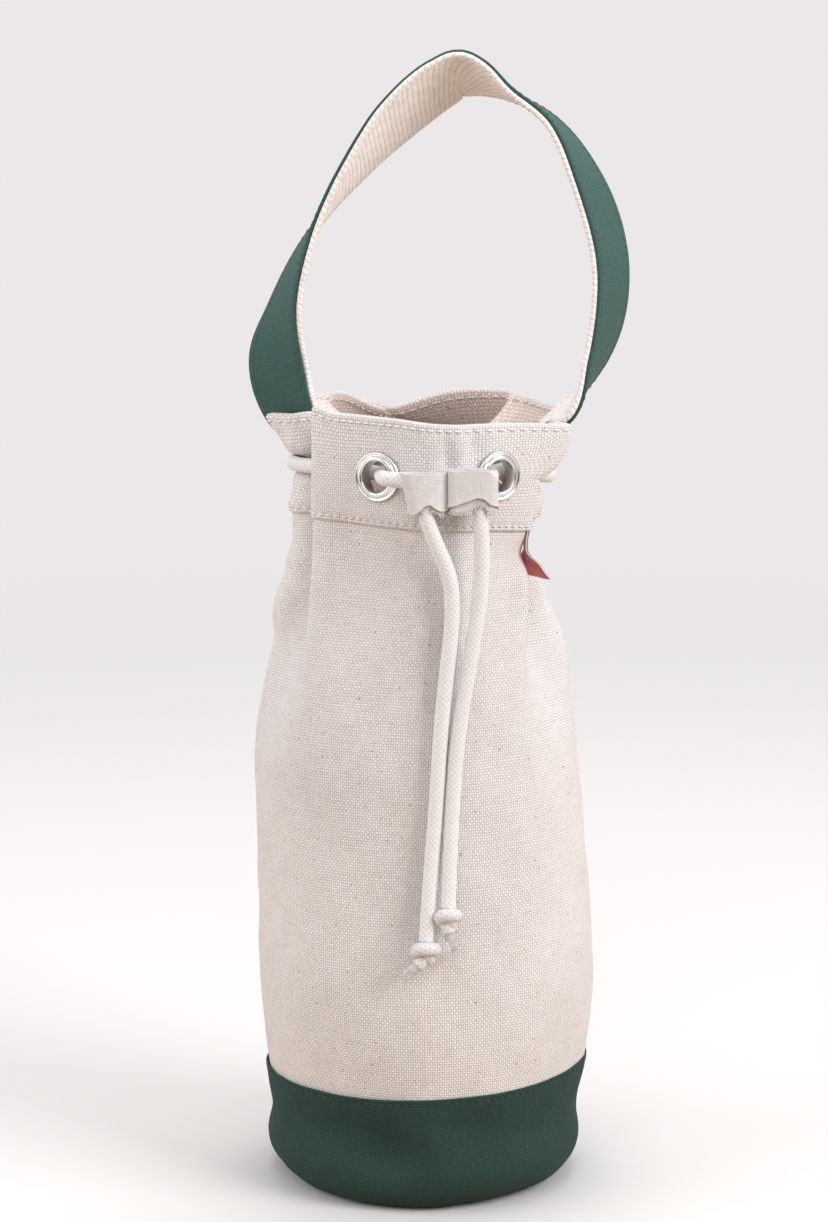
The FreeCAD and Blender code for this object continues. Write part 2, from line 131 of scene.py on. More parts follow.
# Dents and bulges of the cloth: corner round the bag, height, reach round, reach up, depth outward
RELIEF = (
    (0.10, 256.0, 2.6, 8.0, -2.0), (0.31, 257.0, 2.4, 7.0, -1.8), (0.20, 257.0, 2.2, 7.0, 0.9),
    (3.5, 254.0, 11.0, 4.2, 4.2), (3.5, 236.5, 11.0, 4.0, 1.2), (10.5, 256.5, 11.0, 4.2, 4.4),
    (10.5, 242.0, 11.0, 4.2, 3.2), (3.5, 222.0, 12.0, 7.0, -5.0), (1.0, 222.5, 7.0, 6.5, -3.0),
    (10.5, 203.0, 16.0, 8.5, 3.0), (10.5, 195.5, 16.0, 6.0, 1.3), (10.5, 215.0, 14.0, 4.0, 1.2),
    (13.6, 4.0, 34.0, 9.0, 2.2), (3.5, 186.0, 14.0, 15.0, 3.0), (13.3, 228.0, 7.0, 10.0, -0.9),
    (12.9, 212.0, 6.0, 20.0, 0.9), (0.75, 214.0, 6.0, 16.0, -1.0), (0.5, 190.0, 10.0, 26.0, 0.6),
    (13.5, 180.0, 12.0, 24.0, -0.5), (1.0, 205.0, 5.0, 18.0, 0.9), (13.66, 19.0, 11.0, 8.0, -3.2),
    (13.36, 29.0, 11.0, 7.0, -1.8), (13.99, 26.0, 8.0, 8.0, 1.6), (13.52, 17.0, 9.0, 9.0, 0.9),
    (0.10, 20.0, 7.0, 9.0, 1.0), (0.45, 30.0, 10.0, 7.0, -1.2), (0.62, 16.0, 9.0, 8.0, 0.7),
    (12.9, 26.0, 8.0, 8.0, -1.0), (1.1, 24.0, 9.0, 7.0, -1.0), (4.0, 24.0, 14.0, 8.0, -1.2),
    (7.0, 22.0, 16.0, 8.0, -1.1), (10.0, 26.0, 14.0, 8.0, -1.0), (6.3, 200.0, 8.0, 24.0, 0.8),
    (7.6, 196.0, 10.0, 26.0, -0.8), (8.2, 150.0, 14.0, 30.0, 0.6), (5.4, 120.0, 16.0, 34.0, -0.6),
    (3.5, 90.0, 18.0, 30.0, 0.5),
)
# A dent ends this many reaches above and below its height
DENT_END = 3.0

# Lift of the rim: corner round the bag, reach round, lift
RIM_LIFT = (
    (13.25, 20.0, 2.7), (13.0, 6.0, 2.6), (13.75, 12.0, 1.0), (1.0, 12.0, -2.0), (2.0, 11.0, -4.0),
    (12.0, 8.0, -3.6), (11.0, 14.0, 2.4), (10.0, 18.0, -3.4), (5.0, 9.0, 2.8), (9.2, 12.0, 4.4), (7.75, 9.0, 2.2),
    (6.0, 9.0, 2.6), (8.0, 9.0, 1.6), (6.4, 11.0, 3.6), (7.0, 14.0, -3.0), (7.0, 4.5, 0.9),
)

# How far each corner of the collar opens out at the rim: to the right, back, and rounder
RIM_SPREAD = {
    2: (6.0, -2.0, 0.0), 5: (10.0, 13.0, 6.0), 6: (-3.5, 2.0, -0.5), 7: (-12.0, -9.0, -8.0),
    8: (2.0, 1.0, -0.5), 9: (-14.0, 15.0, 8.0),
}

# Route of the drawcord, in metres: up the right tail, round the collar, down the left tail
CORD_ROUTE = (
    (0.0082, -0.0621, 0.1084), (0.0086, -0.0605, 0.1220), (0.0095, -0.0592, 0.1420), (0.0113, -0.0586, 0.1660),
    (0.0153, -0.0586, 0.1900), (0.0187, -0.0590, 0.2120), (0.0191, -0.0602, 0.2290), (0.0181, -0.0606, 0.2380),
    (0.0179, -0.0600, 0.2440), (0.0185, -0.0566, 0.2478), (0.0216, -0.0510, 0.2484), (0.0226, -0.0370, 0.2490),
    (0.0295, -0.0230, 0.2490), (0.0430, -0.0086, 0.2442), (0.0430, 0.0086, 0.2446), (0.0274, 0.0237, 0.2490),
    (0.0192, 0.0400, 0.2490), (0.0160, 0.0489, 0.2490), (0.0074, 0.0487, 0.2486), (-0.0074, 0.0487, 0.2486),
    (-0.0160, 0.0489, 0.2490), (-0.0192, 0.0400, 0.2490), (-0.0274, 0.0237, 0.2490), (-0.0438, 0.0086, 0.2484),
    (-0.0438, -0.0086, 0.2484), (-0.0284, -0.0229, 0.2490), (-0.0136, -0.0386, 0.2490), (-0.0133, -0.0553, 0.2490),
    (-0.0052, -0.0594, 0.2492), (-0.0006, -0.0604, 0.2452), (0.0006, -0.0606, 0.2380), (0.0034, -0.0602, 0.2300),
    (0.0092, -0.0592, 0.2170), (0.0096, -0.0588, 0.2030), (0.0074, -0.0586, 0.1840), (0.0054, -0.0586, 0.1620),
    (0.0042, -0.0591, 0.1400), (0.0024, -0.0602, 0.1180), (0.0010, -0.0625, 0.0972),
)
CORD_STEP = 0.36

# Strap: places of its roots, how far its sides swell out and its top rises
LEFT_ROOT_OUT, RIGHT_ROOT_OUT = -44.6, 47.9
HANDLE_SWELL, HANDLE_RISE = 16.0, 120.0
# Stations from the left root to the right root: share of the way across, of the swell and of the rise, twist in degrees
HANDLE_STATIONS = (
    (0.0, 0.56, -0.085, 22), (0.0, 0.12, -0.032, 34), (0.0, -0.295, 0.128, 42), (0.0, -0.158, 0.283, 21),
    (0.045, 0.11, 0.478, 4), (0.217, 0.10, 0.681, -15), (0.399, 0.06, 0.833, -29), (0.55, 0.0, 0.918, -31),
    (0.61, 0.0, 0.942, -28), (0.67, 0.0, 0.932, -22), (0.779, 0.0, 0.892, -5), (0.935, 0.0, 0.818, 5),
    (1.0, 0.446, 0.65, 19.5), (1.0, 0.994, 0.383, 24), (1.0, 0.87, 0.222, 21), (1.0, 0.69, 0.146, 16),
    (1.0, 0.03, -0.01, -4), (1.0, -0.46, -0.05, -6),
)
# The sewn-in ends narrow over this length, to this share of the width
ROOT_TUCK, ROOT_SHARE = 10.0, 0.4

# Cloth places across the inside of a ply start here, so that a finish can tell it from the outside
INSIDE_PLACE = 1000.0
# Cloth place once round a cord, which makes it a share of the way round
ROUND_PLACE = 1000.0
# Columns of the cloth all round, steps between the control points of its outline, and step for its slope
COLUMNS, RING_STEPS, SLOPE_STEP = 420, 24, 0.6
# Points worked out along a curve before they are spread evenly
CURVE_POINTS = 600
# Angles of the points that round off the end of a ply
PLY_END = (0.45, 0.95, 1.4)


class CarrierCloth(bpy.types.PropertyGroup):
    """Sizes and colours of the sewn cloth."""

    weave: FloatProperty(name="Weave", description="Pitch of the canvas yarns", default=0.78 * MM, unit="LENGTH")
    stitch: FloatProperty(name="Stitch", description="Pitch of the topstitching", default=2.8 * MM, unit="LENGTH")
    webbing_width: FloatProperty(
        name="Webbing width", description="Width of the strap webbing", default=30.0 * MM, unit="LENGTH")
    facing_width: FloatProperty(
        name="Facing width", description="Width of the canvas sewn on the strap", default=28.4 * MM, unit="LENGTH")
    natural: FloatVectorProperty(
        name="Natural", description="Undyed canvas", default=(0.768, 0.722, 0.722), subtype="COLOR", min=0, max=1)
    slider: FloatVectorProperty(
        name="Slider", description="Fine cotton of the slider", default=(0.690, 0.662, 0.668),
        subtype="COLOR", min=0, max=1)
    # The strap's canvas is a lighter green than the base band's: partly a paler, dustier cloth, partly painted light
    # for the light falling on the raised strap
    facing: FloatVectorProperty(
        name="Facing", description="Dyed canvas of the strap", default=(0.050, 0.119, 0.108),
        subtype="COLOR", min=0, max=1)
    green: FloatVectorProperty(
        name="Green", description="Dyed canvas", default=(0.026, 0.058, 0.049), subtype="COLOR", min=0, max=1)
    ribbon: FloatVectorProperty(
        name="Ribbon", description="Side tag", default=(0.520, 0.028, 0.042), subtype="COLOR", min=0, max=1)


class CarrierCord(bpy.types.PropertyGroup):
    """Sizes and colours of the drawcord and the metal it runs in."""

    diameter: FloatProperty(name="Diameter", description="Over the braid", default=5.0 * MM, unit="LENGTH")
    strands: IntProperty(name="Strands", description="Braid strands each way round", default=8, min=3)
    lay: FloatProperty(name="Lay", description="Length of one strand's turn", default=15.0 * MM, unit="LENGTH")
    white: FloatVectorProperty(
        name="Cord", description="Braid yarn", default=(0.752, 0.734, 0.744), subtype="COLOR", min=0, max=1)
    nickel: FloatVectorProperty(
        name="Nickel", description="Plated metal", default=(0.700, 0.675, 0.645), subtype="COLOR", min=0, max=1)


class CarrierStage(bpy.types.PropertyGroup):
    """Camera, light and backdrop."""

    distance: FloatProperty(name="Distance", description="Camera from the bag axis", default=1.08, unit="LENGTH")
    height: FloatProperty(name="Height", description="Camera over the floor", default=0.37, unit="LENGTH")
    aside: FloatProperty(name="Aside", description="Camera to the left of the axis", default=0.003, unit="LENGTH")
    tilt: FloatProperty(name="Tilt", description="Camera tilt down", default=math.radians(9.1), subtype="ANGLE")
    lens: FloatProperty(name="Lens", description="Focal length in millimetres", default=93.98)
    key: FloatProperty(name="Key", description="Watts of the large light on the right", default=25.5)
    fill: FloatProperty(name="Fill", description="Watts of the left light", default=10.0)
    sky: FloatProperty(name="Sky", description="Strength of the even light all round", default=0.73)
    floor: FloatVectorProperty(
        name="Floor", description="Floor as it is seen", default=(0.70, 0.685, 0.682), subtype="COLOR", min=0, max=1)
    bounce: FloatVectorProperty(
        name="Bounce", description="Light that the floor throws back", default=(0.47, 0.36, 0.26),
        subtype="COLOR", min=0, max=1)
    backdrop: FloatVectorProperty(
        name="Backdrop", description="Background", default=(0.835, 0.805, 0.815), subtype="COLOR", min=0, max=1)


def smooth(share):
    share = np.clip(share, 0.0, 1.0)
    return share * share * (3 - 2 * share)


def mix(a, b, share):
    return a + (b - a) * share


def unit(vectors):
    return vectors / np.maximum(np.linalg.norm(vectors, axis=-1, keepdims=True), 1e-9)


def bell(away, reach):
    """One in the middle, falling off softly over a reach."""
    return np.exp(-(away / reach) ** 2)


def distances(line):
    """Distance of every point of a line from its start."""
    return np.concatenate([[0], np.cumsum(np.linalg.norm(np.diff(line, axis=0), axis=1))])


def places_at(at, run, line):
    """Places at the given distances along a line of points."""
    return np.stack([np.interp(at, run, part) for part in line.T], axis=-1)


def evenly(line, step):
    """The same line again, with points a step apart."""
    run = distances(line)
    return places_at(np.linspace(0, run[-1], max(2, int(round(run[-1] / step)) + 1)), run, line)


def flat_ways(line):
    """Ways along a flat line of points, and to its left."""
    along = unit(np.gradient(line, axis=0))
    return along, np.stack([-along[:, 1], along[:, 0]], axis=1)


def round_angles(sides):
    """Angles of evenly spread points all round."""
    return np.arange(sides) * 2 * math.pi / sides


def spokes(aside, out, sides):
    """Ways from an axis to points all round it, from two ways across the axis."""
    turn = round_angles(sides)
    return aside[..., None, :] * np.cos(turn)[:, None] + out[..., None, :] * np.sin(turn)[:, None]


def curve_at(at, knots, points):
    """Places on a smooth curve through points that stand at the given knots."""
    slopes = np.gradient(points, knots, axis=0)
    at = np.clip(at, knots[0], knots[-1])
    k = np.clip(np.searchsorted(knots, at) - 1, 0, len(knots) - 2)
    wide = (knots[k + 1] - knots[k])[:, None]
    t = (at - knots[k])[:, None] / wide
    return ((1 + 2 * t) * (1 - t) ** 2 * points[k] + t * (1 - t) ** 2 * wide * slopes[k]
            + t * t * (3 - 2 * t) * points[k + 1] + t * t * (t - 1) * wide * slopes[k + 1])


def curve_through(points, count=CURVE_POINTS):
    """Points along a smooth curve through a few points."""
    points = np.asarray(points, float)
    knots = distances(points)
    return curve_at(np.linspace(0, knots[-1], count), knots, points)


def collar_corners(level):
    """Corners of the folded outline, from the front centre round by the right: out, back, rounding."""
    low = smooth((level - HEM) / (EYELET_LEVEL - HEM))
    turn = smooth((level - EYELET_LEVEL) / (RIM - EYELET_LEVEL))
    spread = rim_share(level)
    reach, left_reach = (mix(mix(start, SIDE_REACH_CORD, low), SIDE_REACH_RIM, turn)
                         for start in (RIGHT_REACH_HEM, LEFT_REACH_HEM))
    flare = FLARE * (1 - math.exp(-max(0.0, level - FLARE_START) / FLARE_RISE))
    half = mix(SIDE_HALF_LOW, SIDE_HALF_RIM, turn)
    left, right = LEFT_SKEW * turn, RIGHT_SKEW * turn
    corners = [
        (FRONT_OUT, -FRONT_REACH, FRONT_ROUND),
        (RIGHT_FOLD_OUT - RIGHT_TUCK * (1 - low) + flare[0], -FOLD_FRONT + flare[1], FOLD_ROUND),
        (VALLEY_OUT, -VALLEY_FRONT, VALLEY_ROUND),
        (reach + right, -half, SIDE_ROUND),
        (reach - right, half, SIDE_ROUND),
        (VALLEY_OUT, VALLEY_FRONT, VALLEY_ROUND),
        (BACK_FOLD_OUT, BACK_FOLD_REACH, FOLD_ROUND),
        (0.0, BACK_REACH, BACK_ROUND),
        (-BACK_FOLD_OUT, BACK_FOLD_REACH, FOLD_ROUND),
        (-VALLEY_OUT, VALLEY_FRONT, VALLEY_ROUND),
        (-left_reach - left, half, SIDE_ROUND),
        (-left_reach + left, -half, SIDE_ROUND),
        (-VALLEY_OUT, -VALLEY_FRONT, VALLEY_ROUND),
        (-LEFT_FOLD_OUT, -FOLD_FRONT, FOLD_ROUND),
    ]
    for corner, opening in RIM_SPREAD.items():
        corners[corner] = tuple(np.array(corners[corner]) + spread * np.array(opening))
    return corners


def rim_share(level):
    """How far a level is on the way from the top of the eyelets to the rim."""
    return smooth((level - EYELET_LEVEL - EYELET_HEAD) / (RIM - EYELET_LEVEL - EYELET_HEAD))


def outline_poles(level):
    """Control points of the collar's outline: three for each rounded corner and three for each side."""
    corners = np.array(collar_corners(level))
    here, radius = corners[:, :2], corners[:, 2:]
    back = unit(np.roll(here, 1, axis=0) - here)
    ahead = unit(np.roll(here, -1, axis=0) - here)
    half = np.arccos(np.clip((back * ahead).sum(1, keepdims=True), -1, 1)) / 2
    cut = radius / np.tan(half)
    middle = here + unit(back + ahead) * (radius / np.sin(half) - radius)
    start, end = here + back * cut, here + ahead * cut
    following = np.roll(start, -1, axis=0)
    sides = [mix(end, following, share) for share in SIDE_SHARES]
    return np.stack([start, middle, end, *sides], axis=1).reshape(-1, 2)


def ring_weights(places, count):
    """Weights of a closed cubic curve's control points at the given places."""
    i = np.floor(places).astype(int)
    f = places - i
    parts = ((1 - f) ** 3, 3 * f ** 3 - 6 * f ** 2 + 4, 1 + 3 * f + 3 * f ** 2 - 3 * f ** 3, f ** 3)
    weights = np.zeros((len(places), count))
    for k, part in enumerate(parts):
        weights[np.arange(len(places)), (i + k - 1) % count] += part / 6
    return weights


class Skin:
    """Middle of the bag's cloth: its place and outward way at any level, in even columns all round."""

    def __init__(self, columns):
        poles = outline_poles(HEM)
        count = len(poles)
        ring = ring_weights(np.arange(count * RING_STEPS) / RING_STEPS, count) @ poles
        along = distances(np.append(ring, ring[:1], axis=0))
        front = along[RING_STEPS]
        self.columns, self.girth, self.hem_poles = columns, along[-1], poles
        self.around = np.arange(columns) * self.girth / columns
        places = np.interp((self.around + front) % self.girth, along, np.arange(len(along)) / RING_STEPS)
        self.weights = ring_weights(places, count)
        corner_at = along[(np.arange(0, count, POLES_PER_CORNER) + 1) * RING_STEPS] - front
        self.corner_at = np.append(corner_at, self.girth)
        chords = np.linalg.norm(np.roll(poles, -1, axis=0) - poles, axis=1)
        turned = (np.cumsum(chords) - chords - chords[0]) / chords.sum() * 2 * math.pi
        self.round_poles = np.stack([np.sin(turned), -np.cos(turned)], axis=1)
        right, back = (self.weights @ self.round_poles).T
        self.angle = np.unwrap(np.arctan2(right, -back))

    def column_at(self, corner):
        """Distance round the bag of a corner of the collar, or of a share of the way to the next."""
        return np.interp(corner, np.arange(len(self.corner_at)), self.corner_at)

    def from_corner(self, corner):
        """Distance of every column from a corner, the short way round."""
        away = self.around - self.column_at(corner)
        return (away + self.girth / 2) % self.girth - self.girth / 2

    def ring(self, level):
        """Places all round at one level, before the dents and bulges."""
        heights, radii, shifts = np.array(BODY_LINE).T
        height, radius = level, curve_at(np.array([level]), heights, radii[:, None])[0, 0]
        if level >= HEM - GATHER_REST:
            poles = outline_poles(max(level, HEM))
        else:
            if level < CORNER_LEVEL:
                bend = (level - SEAM_LEVEL) / CORNER_RADIUS
                radius = radii[0] - CORNER_RADIUS * (1 - math.sin(bend))
                height = CORNER_LEVEL - CORNER_RADIUS * math.cos(bend)
            share = (level - GATHER_START) / (HEM - GATHER_REST - GATHER_START)
            poles = mix(self.round_poles * radius, self.hem_poles, smooth(share) ** GATHER_POWER)
        spots = np.empty((self.columns, 3))
        spots[:, :2] = self.weights @ poles
        spots[:, 0] += np.interp(level, heights, shifts)
        spots[:, 2] = height + rim_share(level) * self.lift(RIM_LIFT)
        spots[:, 2] += bell(level - HEM, HEM_SWAY_REACH) * (self.lift(HEM_LIFT) - HEM_SWAY * spots[:, 0])
        return spots

    def lift(self, rises):
        """Lift of every column from a list of corners, reaches and rises."""
        return sum(rise * bell(self.from_corner(corner), reach) for corner, reach, rise in rises)

    def relief(self, level):
        """How far the cloth swells or sinks at one level."""
        deep = np.zeros(self.columns)
        for corner, height, round_reach, up_reach, depth in RELIEF:
            fall = ((level - height) / up_reach) ** 2
            if fall < DENT_END ** 2:
                deep += depth * np.exp(-fall - (self.from_corner(corner) / round_reach) ** 2)
        turn = 2 * math.pi * self.around / self.girth
        waves = sum(depth * np.sin(count * turn + level * climb + start) for depth, count, climb, start in WAVES)
        calm = 1 - CALM_SHARE * smooth((level - CALM_START) / CALM_RISE)
        pucker = sum(bell(level - row, PUCKER_REACH) for row in STITCH_LEVELS)
        needle = np.cos(turn * STITCHES_ROUND)
        beside = SEAM_HALF + SEAM_EDGE - np.abs(self.from_corner(BACK_CORNER))
        seam = SEAM_SWELL * smooth(beside / (2 * SEAM_EDGE))
        return deep + waves * calm - PUCKER_DEPTH * pucker * (1 + needle) + seam

    def rows(self, levels):
        """Places and outward ways at several levels."""
        levels = np.asarray(levels, float)
        below, spots, above = (np.array([self.ring(level + step) for level in levels])
                               for step in (-SLOPE_STEP, 0.0, SLOPE_STEP))
        along = np.roll(spots, -1, axis=1) - np.roll(spots, 1, axis=1)
        outward = unit(np.cross(along, above - below))
        swell = np.array([self.relief(level) for level in levels])
        return spots + outward * swell[..., None], outward


SKIN = Skin(COLUMNS)


def face_corners(values):
    """Values of a grid of points at the four corners of each of its faces."""
    return np.stack([values[:-1, :-1], values[:-1, 1:], values[1:, 1:], values[1:, :-1]], axis=-1)


def grid_edge(index):
    """Points round the edge of an open grid."""
    return np.concatenate([index[0], index[1:, -1], index[-1, -2::-1], index[-2:0:-1, 0]])


class Shell:
    """Gathers grids of points with their faces and cloth places, and makes one mesh of them."""

    def __init__(self):
        self.points, self.faces, self.places, self.count = [], [], [], 0

    def grid(self, spots, across, along, closed=False, flip=False, keep=None):
        """A grid of faces, closed across or not; across and along are its cloth places in millimetres."""
        rows, columns = spots.shape[:2]
        index = self.count + np.arange(rows * columns).reshape(rows, columns)
        self.points.append(spots.reshape(-1, 3))
        self.count += rows * columns
        ring = np.append(index, index[:, :1], axis=1) if closed else index
        quads = face_corners(ring)
        places = np.stack([face_corners(part) for part in np.meshgrid(across, along)], axis=-1)
        if flip:
            quads, places = quads[..., ::-1], places[..., ::-1, :]
        shown = np.ones(quads.shape[:2], bool) if keep is None else keep
        self.faces += quads[shown].tolist()
        self.places.append(places[shown].reshape(-1, 2))
        return index

    def wall(self, first, second, place=(0.0, 0.0), closed=True):
        """Faces between two lines of points already in the mesh."""
        if closed:
            first, second = np.append(first, first[:1]), np.append(second, second[:1])
        quads = np.stack([first[:-1], first[1:], second[1:], second[:-1]], axis=-1)
        self.faces += quads.tolist()
        self.places.append(np.tile(np.asarray(place, float), (quads.size, 1)))

    def cap(self, loop, flip=False):
        """One flat face over a closed line of points."""
        loop = list(loop[::-1]) if flip else list(loop)
        self.faces.append([int(i) for i in loop])
        self.places.append(np.zeros((len(loop), 2)))

    def tube(self, rings, across, along):
        """A tube through closed rings of points, with a flat face over each end."""
        index = self.grid(rings, across, along, closed=True)
        self.cap(index[0], flip=True)
        self.cap(index[-1])

    def piece(self, name, material):
        """The finished mesh object, with its cloth places in metres."""
        mesh = bpy.data.meshes.new(name)
        mesh.from_pydata((np.concatenate(self.points) * MM).tolist(), [], self.faces)
        places = np.concatenate(self.places) * MM
        mesh.uv_layers.new(name="cloth").data.foreach_set("uv", places.astype(np.float32).ravel())
        mesh.polygons.foreach_set("use_smooth", [True] * len(mesh.polygons))
        mesh.materials.append(material)
        mesh.update()
        made = bpy.data.objects.new(name, mesh)
        bpy.context.scene.collection.objects.link(made)
        return made


def dress(piece, body, slot, *nodes):
    """Let a piece ride on a body and stand for the solids it covers; its slot argument is not used."""
    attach(piece, body)
    if nodes:
        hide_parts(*nodes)
    return piece


def eyelet_axes():
    """Centre and outward way of each eyelet."""
    spots, outward = (rows[0] for rows in SKIN.rows([EYELET_LEVEL]))
    axes = []
    for node in EYELETS:
        centre = np.mean(box_mm(node), axis=0)
        axes.append((centre, outward[np.argmin(np.linalg.norm(spots - centre, axis=1))]))
    return axes


def off_axis(spots, centre, way):
    """How far points lie along an axis, and their ways off it."""
    away = spots - centre
    through = away @ way
    return through, away - through[..., None] * way


def punch(layers, axes, radius):
    """Which faces of matching layers stay round the eyelet barrels; edge points move onto the barrel."""
    rows, columns = layers[0].shape[:2]
    keep = np.ones((rows - 1, columns), bool)
    for centre, way in axes:
        through, flat = off_axis(layers[0], centre, way)
        inside = (np.linalg.norm(flat, axis=-1) < radius) & (np.abs(through) < radius)
        pairs = inside & np.roll(inside, -1, axis=1)
        keep &= ~(pairs[:-1] & pairs[1:])
        for layer in layers:
            flat = off_axis(layer, centre, way)[1]
            layer[inside] = (layer - flat + unit(flat) * radius)[inside]
    return keep


def hole_walls(shell, outer, inner, keep):
    """Faces between two layers along the edges of punched holes."""
    gone = ~keep
    columns = outer.shape[1]
    for j, i in zip(*np.nonzero(gone)):
        right, left = (i + 1) % columns, (i - 1) % columns
        if keep[j - 1, i]:
            shell.wall(inner[j, [i, right]], outer[j, [i, right]], closed=False)
        if keep[j + 1, i]:
            shell.wall(outer[j + 1, [i, right]], inner[j + 1, [i, right]], closed=False)
        if keep[j, left]:
            shell.wall(outer[[j, j + 1], i], inner[[j, j + 1], i], closed=False)
        if keep[j, right]:
            shell.wall(inner[[j, j + 1], right], outer[[j, j + 1], right], closed=False)


def ply_rows(path, thick):
    """Two faces of a ply that follows a path of (level, offset), with rounded ends: rows of (level, offset)."""
    way, out = flat_ways(path)
    half = thick / 2
    faces = []
    for side in (1, -1):
        ends = [[path[end] + out[end] * side * half * math.cos(a) + way[end] * sign * half * math.sin(a)
                 for a in PLY_END] for end, sign in ((0, -1), (-1, 1))]
        faces.append(np.concatenate([ends[0][::-1], path + out * side * half, ends[1]]))
    return faces


def ply_layers(path, thick):
    """Places of a ply's outer and inner face round the bag, and the levels of their rows."""
    layers, levels = [], []
    for face in ply_rows(path, thick):
        spots, outward = SKIN.rows(face[:, 0])
        layers.append(spots + outward * face[:, 1][:, None, None])
        levels.append(face[:, 0])
    return layers, levels


def sew_ply(name, layers, material, axes=(), hole=0.0, turn=None, inside_place=INSIDE_PLACE):
    """A closed ply of cloth between two faces round the bag, punched for eyelets; it turns inside at a row."""
    shell = Shell()
    outer, inner = layers
    keep = punch(layers, axes, hole)
    across, along = np.append(SKIN.around, SKIN.girth), distances(outer[:, 0])
    turn = turn or len(outer)
    outside = shell.grid(outer[:turn], across, along[:turn], closed=True, keep=keep[:turn - 1])
    if turn < len(outer):
        last = turn - 1
        turned = shell.grid(outer[last:], across + INSIDE_PLACE, along[last:], closed=True, keep=keep[last:])
        outside = np.concatenate([outside[:-1], turned])
    inside = shell.grid(inner, across + inside_place, along, closed=True, flip=True, keep=keep)
    shell.wall(inside[0], outside[0])
    shell.wall(outside[-1], inside[-1])
    hole_walls(shell, outside, inside, keep)
    return shell.piece(name, material)


def path_frames(line):
    """Ways aside and out of a line of points, turning as little as possible."""
    along = unit(np.gradient(line, axis=0))
    aside = np.empty_like(line)
    guess = np.cross(along[0], (0.0, 1.0, 0.0))
    if np.linalg.norm(guess) < 0.1:
        guess = np.cross(along[0], (1.0, 0.0, 0.0))
    for i, way in enumerate(along):
        guess = unit(guess - way * (guess @ way))
        aside[i] = guess
    return aside, np.cross(along, aside)


def sweep(shell, line, radius, sides):
    """A round tube along a line; radius is a number or a grid of rows by sides."""
    radius = np.broadcast_to(np.asarray(radius, float), (len(line), sides))
    rings = line[:, None] + spokes(*path_frames(line), sides) * radius[..., None]
    shell.tube(rings, np.arange(sides + 1) / sides * ROUND_PLACE, distances(line))


# Stitches: thickness and length in millimetres, rings and sides of a bar
STITCH_THICK, STITCH_LENGTH, STITCH_RINGS, STITCH_SIDES = 0.72, 2.2, 7, 6
# A bar's arch in shares of its thickness: height, dip of its ends, thickness at its ends, and how flat it lies
STITCH_RISE, STITCH_DIP, STITCH_END, STITCH_FLAT = 1.6, 0.25, 0.55, 0.8
# Share of the thickness in the thread of the back seam, and in that of the base and the strap
SEAM_THREAD, FINE_THREAD = 0.8, 0.6


def stitch_row(shell, line, outs, pitch, length, thick, lift=0.35, run=None):
    """Stitches along a line, each a small bar of thread that dips into the cloth at both ends."""
    run = distances(line) if run is None else run
    count = max(1, int(run[-1] / pitch))
    pitch = run[-1] / count
    t = np.linspace(0, 1, STITCH_RINGS)
    at = np.clip((np.arange(count)[:, None] + 0.5) * pitch + (t[None] - 0.5) * length, 0, run[-1])
    spots, out = places_at(at, run, line), unit(places_at(at, run, outs))
    side = unit(np.cross(unit(np.gradient(spots, axis=1)), out))
    arch = np.sin(math.pi * t)
    rise = (arch ** 0.6 * (lift + STITCH_DIP) - STITCH_DIP) * thick * STITCH_RISE
    body = thick / 2 * mix(STITCH_END, 1.0, arch ** 0.5)
    centre = spots + out * rise[None, :, None]
    bars = centre[:, :, None] + spokes(side, out * STITCH_FLAT, STITCH_SIDES) * body[None, :, None, None]
    for bar in bars:
        shell.tube(bar, np.arange(STITCH_SIDES + 1) * thick, t * length)


